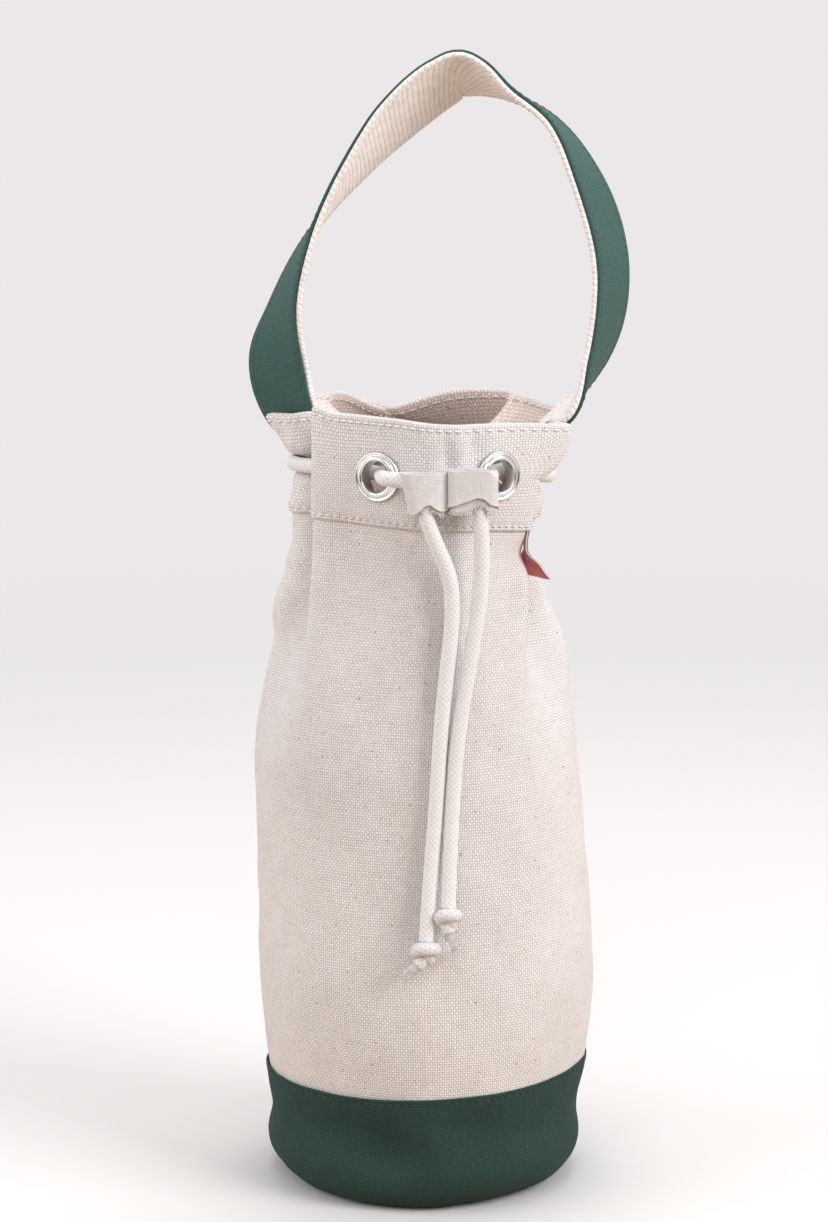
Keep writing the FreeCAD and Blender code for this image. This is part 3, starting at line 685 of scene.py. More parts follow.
class Nodes:
    """Short words for laying out one node tree."""

    def __init__(self, tree):
        self.tree = tree

    def feed(self, socket, value):
        if isinstance(value, bpy.types.NodeSocket):
            self.tree.links.new(value, socket)
        else:
            socket.default_value = value

    def fill(self, node, inputs):
        """Set or link the inputs of a node."""
        for key, value in inputs.items():
            self.feed(node.inputs[key], value)
        return node

    def add(self, kind, inputs=None, **settings):
        node = self.tree.nodes.new(kind)
        for key, value in settings.items():
            setattr(node, key, value)
        return self.fill(node, inputs or {})

    def math(self, operation, *values):
        return self.add("ShaderNodeMath", dict(enumerate(values)), operation=operation).outputs[0]

    def times(self, first, second):
        return self.math("MULTIPLY", first, second)

    def blend(self, share, first, second, mode="MIX"):
        inputs = {0: share, 6: first, 7: second}
        return self.add("ShaderNodeMix", inputs, data_type="RGBA", blend_type=mode).outputs[2]

    def toned(self, colour, tone):
        """A colour made darker or lighter by a tone."""
        return self.blend(1.0, colour, self.vector(tone, tone, tone), "MULTIPLY")

    def noise(self, vector, scale, detail=2.0, rough=0.5):
        inputs = {"Vector": vector, "Scale": scale, "Detail": detail, "Roughness": rough}
        return self.add("ShaderNodeTexNoise", inputs).outputs[0]

    def ramp(self, value, low, high, to_low=0.0, to_high=1.0):
        inputs = {"Value": value, "From Min": low, "From Max": high, "To Min": to_low, "To Max": to_high}
        return self.add("ShaderNodeMapRange", inputs, interpolation_type="SMOOTHSTEP").outputs[0]

    def cloth_place(self):
        """Cloth place in metres: the whole vector, and its two parts."""
        vector = self.add("ShaderNodeUVMap", uv_map="cloth").outputs[0]
        parts = self.add("ShaderNodeSeparateXYZ", {0: vector}).outputs
        return vector, parts[0], parts[1]

    def vector(self, x, y, z=0.0):
        return self.add("ShaderNodeCombineXYZ", {0: x, 1: y, 2: z}).outputs[0]

    def ribs(self, turns):
        """One on the back of each rib, and none between ribs."""
        return self.math("ABSOLUTE", self.math("SINE", self.times(turns, math.pi)))

    def within(self, x):
        """One on the inside of a ply, by its cloth place across."""
        return self.math("GREATER_THAN", x, INSIDE_PLACE * MM / 2)

    def checks(self, a, b, second=1.0):
        """Height of two crossing sets of round yarns, over and under by turns, and which set is on top."""
        sets = []
        for own, other, sign, share in ((a, b, 0.5, 1.0), (b, a, -0.5, second)):
            bow = self.math("MULTIPLY_ADD", self.math("FRACT", own), 2.0, -1.0)
            across = self.math("SQRT", self.math("SUBTRACT", 1.0, self.times(bow, bow)))
            turn = self.math("FLOORED_MODULO", self.math("FLOOR", own), 2.0)
            turn = self.math("MULTIPLY_ADD", turn, -2.0 * sign, sign)
            crimp = self.math("MULTIPLY_ADD", self.math("SINE", self.times(other, math.pi)), turn, 0.5)
            sets.append(self.times(self.times(across, crimp), share))
        return self.math("MAXIMUM", *sets), self.math("GREATER_THAN", *sets)


NUMBER, COLOUR = "NodeSocketFloat", "NodeSocketColor"


def group_tree(name, inputs, outputs):
    """An empty shader group with named sockets; gives its nodes, its inputs and its last node."""
    tree = bpy.data.node_groups.new(name, "ShaderNodeTree")
    for word, kind, default in inputs:
        tree.interface.new_socket(word, in_out="INPUT", socket_type=kind).default_value = default
    for word, kind in outputs:
        tree.interface.new_socket(word, in_out="OUTPUT", socket_type=kind)
    nodes = Nodes(tree)
    return nodes, nodes.add("NodeGroupInput").outputs, nodes.add("NodeGroupOutput")


def plain_weave_group():
    """Canvas of round yarns over and under each other, with slubs, dark flecks and pale lint; painted shade darkens the
    gaps between the yarns and the inside faces of the plies.
    """
    nodes, given, result = group_tree(
        "Plain weave",
        (("Pitch", NUMBER, 0.00078), ("Yarn", COLOUR, (0.7, 0.6, 0.5, 1)), ("Gap shade", COLOUR, (0.4, 0.3, 0.25, 1)),
         ("Lint", COLOUR, (0.9, 0.88, 0.85, 1)), ("Fleck", COLOUR, (0.2, 0.15, 0.1, 1)),
         ("Flecks", NUMBER, 0.5), ("Lint amount", NUMBER, 0.3), ("Inside", COLOUR, (1.04, 0.93, 0.85, 1))),
        (("Colour", COLOUR), ("Height", NUMBER), ("Roughness", NUMBER)))
    place, x, y = nodes.cloth_place()
    a = nodes.math("ADD", nodes.math("DIVIDE", x, given["Pitch"]), nodes.noise(place, 70.0))
    weft = nodes.math("DIVIDE", nodes.math("DIVIDE", y, given["Pitch"]), 1.18)
    b = nodes.math("ADD", weft, nodes.noise(place, 110.0))
    height, top = nodes.checks(a, b, 0.66)
    warp_slub = nodes.noise(nodes.vector(nodes.math("FLOOR", a), nodes.times(b, 0.11)), 1.7)
    weft_slub = nodes.noise(nodes.vector(nodes.times(a, 0.11), nodes.math("FLOOR", b), 5.0), 1.7)
    slub = nodes.math("ADD", nodes.times(warp_slub, top), nodes.times(weft_slub, nodes.math("SUBTRACT", 1.0, top)))
    cloud = nodes.ramp(nodes.noise(place, 22.0, 3.0), 0.3, 0.7, -0.035, 0.035)
    tone = nodes.math("ADD", nodes.ramp(slub, 0.25, 0.75, 0.90, 1.07), cloud)
    # Painted shade: where the yarns dip under each other the colour falls to the darker gap shade
    colour = nodes.toned(nodes.blend(nodes.ramp(height, 0.10, 0.82), given["Gap shade"], given["Yarn"]), tone)
    speck = nodes.ramp(nodes.noise(place, 640.0, 1.0), 0.70, 0.76)
    colour = nodes.blend(nodes.times(speck, given["Flecks"]), colour, given["Fleck"])
    fluff = nodes.ramp(nodes.noise(nodes.vector(x, nodes.times(y, 0.45)), 1500.0, 1.0), 0.60, 0.72)
    colour = nodes.blend(nodes.times(fluff, given["Lint amount"]), colour, given["Lint"])
    # Painted shade: the inside faces of the plies get a warmer, darker tint for the shade and warm bounced light inside
    # the bag
    inside_shade = nodes.blend(1.0, colour, given["Inside"], "MULTIPLY")
    fuzz = nodes.noise(place, 3800.0)
    thick = nodes.times(height, nodes.ramp(slub, 0.2, 0.8, 0.8, 1.15))
    nodes.fill(result, {
        "Colour": nodes.blend(nodes.within(x), colour, inside_shade),
        "Height": nodes.math("MULTIPLY_ADD", fuzz, 0.22, thick),
        "Roughness": nodes.ramp(fuzz, 0.3, 0.7, 0.78, 0.95)})
    return nodes.tree


def twill_tape_group():
    """Strap webbing: slanting ribs across, with fine yarns along, and painted shade between the ribs."""
    nodes, given, result = group_tree(
        "Twill tape",
        (("Rib", NUMBER, 0.0021), ("Yarn", COLOUR, (0.7, 0.6, 0.5, 1)), ("Gap shade", COLOUR, (0.4, 0.3, 0.25, 1))),
        (("Colour", COLOUR), ("Height", NUMBER)))
    place, x, y = nodes.cloth_place()
    ribs = nodes.math("DIVIDE", nodes.math("MULTIPLY_ADD", x, 0.32, y), given["Rib"])
    ribs = nodes.math("ADD", ribs, nodes.times(nodes.noise(place, 90.0), 0.8))
    yarns = nodes.math("ADD", nodes.math("DIVIDE", x, 0.00085), nodes.times(nodes.math("FLOOR", ribs), 0.5))
    yarn = nodes.math("MULTIPLY_ADD", nodes.ribs(yarns), 0.45, 0.55)
    height = nodes.times(nodes.math("POWER", nodes.ribs(ribs), 0.6), yarn)
    tone = nodes.ramp(nodes.noise(place, 240.0, 3.0), 0.3, 0.7, 0.93, 1.05)
    # Painted shade: between the ribs the colour falls to the darker gap shade
    nodes.fill(result, {
        "Colour": nodes.toned(nodes.blend(nodes.ramp(height, 0.05, 0.6), given["Gap shade"], given["Yarn"]), tone),
        "Height": nodes.math("MULTIPLY_ADD", nodes.noise(place, 3500.0), 0.2, height)})
    return nodes.tree


def braid_group():
    """Cord braid: strands that cross each other as they wind round, with painted shade between them."""
    nodes, given, result = group_tree(
        "Braid",
        (("Strands", NUMBER, 8.0), ("Lay", NUMBER, 0.015), ("Yarn", COLOUR, (0.8, 0.75, 0.7, 1)),
         ("Gap shade", COLOUR, (0.5, 0.45, 0.4, 1)), ("Fleck", COLOUR, (0.3, 0.3, 0.3, 1))),
        (("Colour", COLOUR), ("Height", NUMBER)))
    x, y = nodes.cloth_place()[1:]
    round_share = nodes.times(x, given["Strands"])
    wound = nodes.times(nodes.math("DIVIDE", y, given["Lay"]), given["Strands"])
    height = nodes.checks(nodes.math("ADD", round_share, wound), nodes.math("SUBTRACT", round_share, wound))[0]
    fibre = nodes.noise(nodes.vector(nodes.times(x, 0.02), y), 1900.0)
    speck = nodes.ramp(nodes.noise(nodes.vector(nodes.times(x, 0.016), y), 900.0, 1.0), 0.68, 0.78)
    # Painted shade: between the strands the colour falls to the darker gap shade
    colour = nodes.blend(nodes.ramp(height, 0.1, 0.6), given["Gap shade"], given["Yarn"])
    colour = nodes.toned(colour, nodes.ramp(fibre, 0.3, 0.7, 0.93, 1.05))
    nodes.fill(result, {
        "Colour": nodes.blend(nodes.times(speck, 0.7), colour, given["Fleck"]),
        "Height": nodes.math("MULTIPLY_ADD", fibre, 0.3, height)})
    return nodes.tree


def new_material(name):
    """A material with one Principled shader; gives the material, its nodes and the shader."""
    material = bpy.data.materials.new(name)
    material.use_nodes = True
    nodes = Nodes(material.node_tree)
    return material, nodes, material.node_tree.nodes["Principled BSDF"]


def shaded(colour, share):
    """A darker or lighter shade of a colour."""
    return tuple(min(1.0, part * share) for part in colour[:3]) + (1.0,)


def bump(nodes, height, strength, distance):
    """Normal of a face with a fine height over it."""
    return nodes.add("ShaderNodeBump", {"Strength": strength, "Distance": distance, "Height": height}).outputs[0]


def cloth_material(name, group, values, strength, distance, sheen=0.08, coat=0.0):
    """A cloth finish from a weave group and its values."""
    material, nodes, shader = new_material(name)
    woven = nodes.add("ShaderNodeGroup", values, node_tree=group).outputs
    nodes.fill(shader, {
        "Base Color": woven["Colour"], "Roughness": woven["Roughness"] if "Roughness" in woven else 0.88,
        "Sheen Weight": sheen, "Sheen Roughness": 0.6, "Specular IOR Level": 0.15,
        "Coat Weight": coat, "Coat Roughness": 0.2, "Normal": bump(nodes, woven["Height"], strength, distance)})
    return material


def canvas_material(name, pitch, colour, shades, fleck, amounts, strength, distance, sheen=0.08):
    """A plain-weave canvas from the shades of its yarn, its painted gap shade and its lint, and the amounts of flecks
    and lint.
    """
    yarn, gap, lint = (shaded(colour, shade) for shade in shades)
    flecks, fluff = amounts
    values = {"Pitch": pitch, "Yarn": yarn, "Gap shade": gap, "Lint": lint, "Fleck": fleck, "Flecks": flecks,
              "Lint amount": fluff}
    weave = bpy.data.node_groups.get("Plain weave") or plain_weave_group()
    return cloth_material(name, weave, values, strength, distance, sheen)


def twill_material(name):
    """The natural tape of the strap."""
    # Its gap colour is painted shade between the ribs
    values = {"Yarn": (0.90, 0.85, 0.84, 1.0), "Gap shade": (0.66, 0.60, 0.56, 1.0)}
    return cloth_material(name, bpy.data.node_groups.get("Twill tape") or twill_tape_group(), values, 0.45, 0.0004)


def braid_material(name, cord, yarn, gap, coat):
    """The braid of the cord, plain or with a glaze over it; its gap colour is painted shade between the strands."""
    values = {"Strands": float(cord.strands), "Lay": cord.lay, "Yarn": shaded(cord.white, yarn),
              "Gap shade": shaded(cord.white, gap), "Fleck": shaded(cord.white, 0.42)}
    braid = bpy.data.node_groups.get("Braid") or braid_group()
    return cloth_material(name, braid, values, 0.45, 0.0002, coat=coat)


def nickel_material(name, colour):
    """Plated metal with a few duller patches."""
    material, nodes, shader = new_material(name)
    patch = nodes.noise(nodes.add("ShaderNodeTexCoord").outputs["Object"], 260.0, 3.0)
    dull = nodes.ramp(patch, 0.35, 0.75)
    nodes.fill(shader, {
        "Metallic": 1.0, "Base Color": nodes.blend(dull, shaded(colour, 1.0), shaded(colour, 0.92)),
        "Roughness": nodes.ramp(patch, 0.3, 0.8, 0.20, 0.27)})
    return material


def sleeve_material(name):
    """Clear shrunk plastic over a cord end."""
    material, nodes, shader = new_material(name)
    ripple = nodes.noise(nodes.add("ShaderNodeTexCoord").outputs["Object"], 420.0)
    nodes.fill(shader, {
        "Base Color": (0.84, 0.82, 0.83, 1.0), "Transmission Weight": 0.75, "IOR": 1.3,
        "Roughness": nodes.ramp(ripple, 0.3, 0.7, 0.08, 0.18), "Normal": bump(nodes, ripple, 0.12, 0.0004)})
    return material


def thread_material(name, colour):
    """Sewing thread, twisted, with a soft shine and painted shade in the grooves of its twist."""
    material, nodes, shader = new_material(name)
    x, y = nodes.cloth_place()[1:]
    twist = nodes.ribs(nodes.math("ADD", nodes.math("DIVIDE", y, 0.0009), nodes.math("DIVIDE", x, 0.0017)))
    # Painted shade: the grooves between the turns of the twist take a darker shade of the thread's colour
    nodes.fill(shader, {
        "Base Color": nodes.blend(twist, shaded(colour, 0.72), shaded(colour, 1.05)),
        "Roughness": 0.62, "Sheen Weight": 0.2, "Normal": bump(nodes, twist, 0.5, 0.00012)})
    return material


def ribbon_material(name, colour):
    """Woven ribbon with fine ribs, red outside and white inside its fold."""
    material, nodes, shader = new_material(name)
    x, y = nodes.cloth_place()[1:]
    rib = nodes.ribs(nodes.math("DIVIDE", y, 0.00035))
    fibre = nodes.noise(nodes.vector(nodes.times(x, 0.2), y), 2600.0)
    dyed = nodes.blend(nodes.ramp(fibre, 0.3, 0.7), shaded(colour, 0.78), shaded(colour, 1.2))
    # Painted shade: the white is darker in the grooves between the ribs
    white = nodes.blend(rib, (0.80, 0.77, 0.75, 1.0), (0.92, 0.90, 0.88, 1.0))
    nodes.fill(shader, {
        "Base Color": nodes.blend(nodes.within(x), dyed, white), "Roughness": 0.5, "Sheen Weight": 0.25,
        "Normal": bump(nodes, nodes.math("ADD", rib, fibre), 0.35, 0.0001)})
    return material


def seen_rays(nodes):
    """One where a ray shows the background to the eye, straight or in metal and plastic."""
    rays = nodes.add("ShaderNodeLightPath").outputs
    return nodes.math("MAXIMUM", rays["Is Camera Ray"],
                      nodes.math("MAXIMUM", rays["Is Glossy Ray"], rays["Is Transmission Ray"]))


# Distances from the middle at which the floor starts and ends to fade, in metres
FLOOR_FADE = (0.45, 1.5)


def floor_material(colour, bounce):
    """Matt pale floor that fades into the background and is open from below."""
    material, nodes, shader = new_material("studio_floor")
    nodes.fill(shader, {
        "Base Color": nodes.blend(seen_rays(nodes), shaded(bounce, 1.0), shaded(colour, 1.0)),
        "Roughness": 0.9, "Specular IOR Level": 0.1})
    place = nodes.add("ShaderNodeTexCoord").outputs["Object"]
    away = nodes.add("ShaderNodeVectorMath", {0: place}, operation="LENGTH").outputs["Value"]
    under = nodes.add("ShaderNodeNewGeometry").outputs["Backfacing"]
    gone = nodes.math("MAXIMUM", nodes.ramp(away, *FLOOR_FADE), under)
    clear = nodes.add("ShaderNodeBsdfTransparent").outputs[0]
    mixed = nodes.add("ShaderNodeMixShader", {0: gone, 1: shader.outputs[0], 2: clear}).outputs[0]
    nodes.feed(material.node_tree.nodes["Material Output"].inputs["Surface"], mixed)
    return material


def finish(name):
    """One of the carrier's finishes, made the first time it is asked for."""
    if name in bpy.data.materials:
        return bpy.data.materials[name]
    cloth, cord = bpy.context.scene.carrier_cloth, bpy.context.scene.carrier_cord
    natural, green, facing = cloth.natural, cloth.green, cloth.facing
    makers = {
        "natural_duck": (canvas_material, cloth.weave, natural, (1.13, 0.56, 1.25), (0.22, 0.16, 0.12, 1.0),
                         (0.6, 0.10), 0.6, 0.0004, 0.28),
        "green_duck": (canvas_material, cloth.weave * 0.9, green, (1.15, 0.45, 3.4), shaded(green, 0.3),
                       (0.3, 0.16), 0.5, 0.0003, 0.02),
        "strap_green": (canvas_material, cloth.weave * 0.8, facing, (1.0, 0.5, 2.2), shaded(facing, 0.2),
                        (0.3, 0.18), 0.4, 0.0003, 0.06),
        "slider_cotton": (canvas_material, 0.00050, cloth.slider, (1.1, 0.74, 1.3), (0.4, 0.32, 0.27, 1.0),
                          (0.2, 0.15), 0.35, 0.0002),
        "strap_twill": (twill_material,),
        "cord_braid": (braid_material, cord, 1.05, 0.68, 0.0),
        "glazed_braid": (braid_material, cord, 0.93, 0.58, 0.6),
        "cream_thread": (thread_material, shaded(natural, 1.1)),
        "green_thread": (thread_material, shaded(green, 0.5)),
        "strap_thread": (thread_material, shaded(facing, 0.8)),
        "nickel_plate": (nickel_material, cord.nickel),
        "clear_sleeve": (sleeve_material,),
        "woven_ribbon": (ribbon_material, cloth.ribbon),
    }
    maker, *values = makers[name]
    return maker(name, *values)


# Thickness of the body and of the plies sewn over it, and how far out these lie
CANVAS, PLY = 1.0, 0.95
BAND_OFFSET, BASE_OFFSET = 1.28, 1.03
BAND_TILT = 1.7
EYELET_HOLE = 6.1
FLOOR_GAP = 0.05
# Rows of the body's mesh: from, to, count
BODY_ROWS = ((SEAM_LEVEL, 40.0, 36), (41.2, 222.0, 145), (223.0, RIM - 2.2, 44))
# Groove along a row of stitches: reach, depth in the collar and in the base
GROOVE_REACH, COLLAR_GROOVE, BASE_GROOVE = 0.8, 0.16, 0.14
# Rolled rim of the collar: drop of its start, rise over that, middle and reach of the roll
ROLL_DROP, ROLL_RISE, ROLL_MIDDLE, ROLL_REACH = 1.4, 1.1, 0.14, 1.14
# Cut edges over the hem and under the band's top, and the collar's turned-in edge: depth and offset
HEM_EDGE, BAND_EDGE = 0.5, 0.6
TURN_IN, TURN_IN_OFFSET = 8.6, -1.0
# Offsets of the stitches from the body's middle
COLLAR_STITCH_OUT, COLLAR_STITCH_IN, BASE_STITCH_OUT = 1.68, -1.46, BASE_OFFSET + 0.3
# Lower and upper face of the bottom and of the floor in the well, and the well's level and gap
BOTTOM, WELL_FLOOR = (FLOOR_GAP, 1.25), (1.7, 2.4)
WELL_LEVEL, WELL_GAP = SEAM_LEVEL + 3.0, 1.5


def band_lift(levels):
    """Lift of the base band's upper edge towards the right."""
    return BAND_TILT * smooth(np.asarray(levels)[:, None] / BAND_TOP) * np.sin(SKIN.angle)[None]


def cloth_line(level, offset):
    """A line round the bag at one level, and its outward ways."""
    spots, outward = SKIN.rows([level])
    return spots[0] + outward[0] * offset, outward[0]


def closed_stitches(shell, line, outs, thick=STITCH_THICK):
    """A row of stitches all round the bag, in step with the puckers of the cloth."""
    stitch_row(shell, np.append(line, line[:1], axis=0), np.append(outs, outs[:1], axis=0),
               SKIN.girth / STITCHES_ROUND, STITCH_LENGTH, thick, run=np.append(SKIN.around, SKIN.girth))


def make_body():
    levels = np.concatenate([np.linspace(*rows) for rows in BODY_ROWS])
    layers = ply_layers(np.stack([levels, np.zeros_like(levels)], axis=1), CANVAS)[0]
    cloth = sew_ply("body_cloth", layers, finish("natural_duck"), eyelet_axes(), EYELET_HOLE)
    dress(cloth, "bag", "natural_canvas", "body_panel")

    stitches = Shell()
    spots, outward = SKIN.rows(np.linspace(BAND_TOP + SEAM_REST, HEM - SEAM_REST, 180))
    for away in (SEAM_REST - SEAM_HALF, SEAM_HALF - SEAM_REST):
        column = np.argmin(np.abs(SKIN.from_corner(BACK_CORNER) - away))
        outs = outward[:, column]
        stitch_row(stitches, spots[:, column] + outs * CANVAS / 2, outs,
                   bpy.context.scene.carrier_cloth.stitch / MM, STITCH_LENGTH, STITCH_THICK * SEAM_THREAD)
    dress(stitches.piece("body_stitches", finish("cream_thread")), "bag", "natural_canvas")


def make_collar():
    levels = np.linspace(HEM + HEM_EDGE, RIM - ROLL_DROP, 44)
    grooves = sum(bell(levels - row, GROOVE_REACH) for row in (HEM_STITCH, RIM_STITCH))
    front = np.stack([levels, BAND_OFFSET - COLLAR_GROOVE * grooves], axis=1)
    bend = np.linspace(0, math.pi, 10)[1:-1]
    roll = np.stack([RIM - ROLL_DROP + ROLL_RISE * np.sin(bend), ROLL_MIDDLE + ROLL_REACH * np.cos(bend)], axis=1)
    levels = np.linspace(RIM - ROLL_DROP, RIM - TURN_IN, 10)
    facing = np.stack([levels, np.full_like(levels, TURN_IN_OFFSET)], axis=1)
    layers = ply_layers(np.concatenate([front, roll, facing]), PLY)[0]
    turn = len(PLY_END) + len(front) + len(roll) - 1
    cloth = sew_ply("collar_cloth", layers, finish("natural_duck"), eyelet_axes(), EYELET_HOLE, turn)
    dress(cloth, "bag", "natural_canvas", "collar_band")

    stitches = Shell()
    for level in (RIM_STITCH, HEM_STITCH):
        closed_stitches(stitches, *cloth_line(level, COLLAR_STITCH_OUT))
    line, outs = cloth_line(RIM_STITCH, COLLAR_STITCH_IN)
    closed_stitches(stitches, line, -outs)
    dress(stitches.piece("collar_stitches", finish("cream_thread")), "bag", "natural_canvas")


def make_base():
    levels = np.linspace(SEAM_LEVEL, BAND_TOP - BAND_EDGE, 46)
    offsets = BASE_OFFSET - BASE_GROOVE * bell(levels - BAND_STITCH, GROOVE_REACH)
    layers, rows = ply_layers(np.stack([levels, offsets], axis=1), PLY)
    for spots, levels, floor in zip(layers, rows, (FLOOR_GAP, FLOOR_GAP + PLY)):
        spots[..., 2] = np.maximum(spots[..., 2] + band_lift(levels), floor)
    cloth = sew_ply("base_cloth", layers, finish("green_duck"), inside_place=0.0)
    dress(cloth, "bag", "green_canvas", "base_band")

    stitches = Shell()
    line, outs = cloth_line(BAND_STITCH, BASE_STITCH_OUT)
    line[:, 2] += band_lift([BAND_STITCH])[0]
    closed_stitches(stitches, line, outs, STITCH_THICK * FINE_THREAD)
    dress(stitches.piece("base_stitches", finish("green_thread")), "bag", "green_canvas")

    make_disc("base_bottom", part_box("base_disc")[1].x / MM, BOTTOM, "green_duck", "green_canvas", "base_disc")
    well = SKIN.rows([WELL_LEVEL])[0][0, :, 0].max() - WELL_GAP
    make_disc("well_floor", well, WELL_FLOOR, "natural_duck", "natural_canvas")


# Points round a disc, and its even rings from a first radius to a border
DISC_SIDES, DISC_RINGS, DISC_START, DISC_BORDER = 96, 26, 1.5, 0.6
# Waves of a disc: height, how many all round, and turn per millimetre outward
DISC_WAVE, DISC_WAVES_ROUND, DISC_WAVES_OUT = 0.12, 5, 0.16
# Last rings of a disc: how far in from its edge, and share of its thickness that is rounded off
DISC_EDGE = np.array(((0.2, 0.12), (0.0, 0.5)))


def make_disc(name, radius, faces, material, slot, *nodes):
    """A round cut of canvas with a softly uneven face and a rounded edge."""
    shell = Shell()
    low, high = faces
    turn = round_angles(DISC_SIDES)
    radii = np.append(np.linspace(DISC_START, radius - DISC_BORDER, DISC_RINGS), radius - DISC_EDGE[:, 0])
    pinch = np.append(np.zeros(DISC_RINGS), DISC_EDGE[:, 1]) * (high - low)
    wave = DISC_WAVE * np.sin(DISC_WAVES_ROUND * turn)[None] * np.sin(radii * DISC_WAVES_OUT)[:, None]
    flat = [radii[:, None] * np.sin(turn), -radii[:, None] * np.cos(turn)]
    across = np.linspace(0, 2 * math.pi * radius, DISC_SIDES + 1)
    indexes = []
    for height, side in ((low, 1), (high, -1)):
        heights = height + side * pinch[:, None] + np.maximum(wave, 0 if side > 0 else -1)
        layer = np.stack(np.broadcast_arrays(*flat, heights), axis=-1)
        indexes.append(shell.grid(layer[::-1], across, radii[::-1], closed=True, flip=side > 0))
    for index, flip in zip(indexes, (True, False)):
        shell.cap(index[-1], flip=flip)
    shell.wall(indexes[0][0], indexes[1][0])
    dress(shell.piece(name, finish(material)), "bag", slot, *nodes)


def strap_stations(step):
    """Middle, width way and outward way of the strap, from the left root to the right root."""
    cross, swell, up, twist = np.array(HANDLE_STATIONS).T
    out = mix(LEFT_ROOT_OUT, RIGHT_ROOT_OUT, cross) + HANDLE_SWELL * swell
    dense = curve_through(np.stack([out, RIM + HANDLE_RISE * up, np.radians(twist)], axis=1))
    run = distances(dense[:, :2])
    at = np.linspace(0, run[-1], int(run[-1] / step) + 1)
    x, z, twist = places_at(at, run, dense).T
    twist = twist[:, None]
    centre = np.stack([x, np.zeros_like(x), z], axis=1)
    along = unit(np.gradient(centre, axis=0))
    out = np.stack([-along[:, 2], np.zeros_like(x), along[:, 0]], axis=1)
    across = np.array((0.0, 1.0, 0.0))
    tuck = mix(ROOT_SHARE, 1.0, smooth(np.minimum(at, at[-1] - at) / ROOT_TUCK))
    wide = (across * np.cos(twist) + out * np.sin(twist)) * tuck[:, None]
    thick = out * np.cos(twist) - across * np.sin(twist)
    return at, centre, wide, thick


def strap_section(width, inside, outside, edge):
    """Points round a flat strap's section: across, depth; with rounded edges."""
    half, middle, deep = width / 2, (inside + outside) / 2, (outside - inside) / 2
    flat = np.linspace(-half + edge, half - edge, 15)
    turn = np.linspace(-math.pi / 2, math.pi / 2, 6)[1:-1]
    low = np.stack([flat, np.full_like(flat, inside)], axis=1)
    right = np.stack([half - edge + edge * np.cos(turn), middle + deep * np.sin(turn)], axis=1)
    high = np.stack([flat[::-1], np.full_like(flat, outside)], axis=1)
    left = np.stack([-half + edge - edge * np.cos(turn), middle - deep * np.sin(turn)], axis=1)
    return np.concatenate([low, right, high, left])


def bend_with_handle(piece, slot, *nodes):
    """Bake a strap piece's place into its mesh and hide the solids it stands for; its slot argument is not used."""
    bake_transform(piece)
    if nodes:
        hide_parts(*nodes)


# Step along the strap, its depths at the back of the tape and the front of the facing, and the gap between the two
STRAP_STEP, WEBBING_BACK, FACING_FRONT, FACING_GAP = 1.1, -1.8, 1.25, 0.12
# Rounding of the edges, stitches in from the facing's edge, and how far they stand out
WEBBING_EDGE, FACING_EDGE, FACING_SEAM, STRAP_STITCH_LIFT = 0.8, 0.55, 2.6, 0.15
# Uneven width of the strap: share of the width, turn per millimetre along, start
STRAP_WAVES = ((0.004, 0.21, 0.0), (0.003, 0.53, 1.0))


def make_handle():
    cloth = bpy.context.scene.carrier_cloth
    webbing_width, facing_width = cloth.webbing_width / MM, cloth.facing_width / MM
    at, centre, wide, thick = strap_stations(STRAP_STEP)
    uneven = 1 + sum(share * np.sin(at * turn + start) for share, turn, start in STRAP_WAVES)
    plies = (
        ("webbing", webbing_width, WEBBING_BACK, 0.0, WEBBING_EDGE, "strap_twill", "natural_webbing"),
        ("facing", facing_width, FACING_GAP, FACING_FRONT, FACING_EDGE, "strap_green", "green_canvas"),
    )
    for node, width, inside, outside, edge, material, slot in plies:
        section = strap_section(width, inside, outside, edge)
        spots = (centre[:, None] + wide[:, None] * (section[None, :, :1] * uneven[:, None, None])
                 + thick[:, None] * section[None, :, 1:])
        shell = Shell()
        shell.tube(spots, distances(np.append(section, section[:1], axis=0)), at)
        piece = shell.piece("strap_" + node, finish(material))
        bend_with_handle(piece, slot, "handle_" + node, node + "_root_left", node + "_root_right")
    seam = facing_width / 2 - FACING_SEAM
    for name, depth, side, material, slot in (
            ("facing_stitches", FACING_FRONT, 1, "strap_thread", "green_canvas"),
            ("webbing_stitches", WEBBING_BACK, -1, "cream_thread", "natural_webbing")):
        shell = Shell()
        for edge in (-seam, seam):
            stitch_row(shell, centre + wide * edge + thick * depth, thick * side, cloth.stitch / MM,
                       STITCH_LENGTH, STITCH_THICK * FINE_THREAD, STRAP_STITCH_LIFT)
        bend_with_handle(shell.piece(name, finish(material)), slot)


# Section of an eyelet: out from its axis, and over the seat of its flange or over its inner end
EYELET_FACE = (
    (5.2, 0.4), (5.2, 0.9), (5.32, 1.25), (5.58, 1.45), (5.95, 1.5), (6.3, 1.42), (6.6, 1.24), (6.85, 0.96),
    (7.0, 0.74), (7.12, 0.62), (7.24, 0.6), (7.38, 0.68), (7.52, 0.78), (7.7, 0.84), (7.92, 0.8), (8.1, 0.56),
    (8.22, 0.28), (8.25, 0.04), (8.1, 0.0), (5.65, 0.0),
)
EYELET_LIP = ((5.62, 1.0), (6.3, 0.85), (6.4, 0.5), (6.0, 0.08), (5.5, 0.2), (5.2, 0.9))
EYELET_DOME, EYELET_SIDES = 1.5, 96


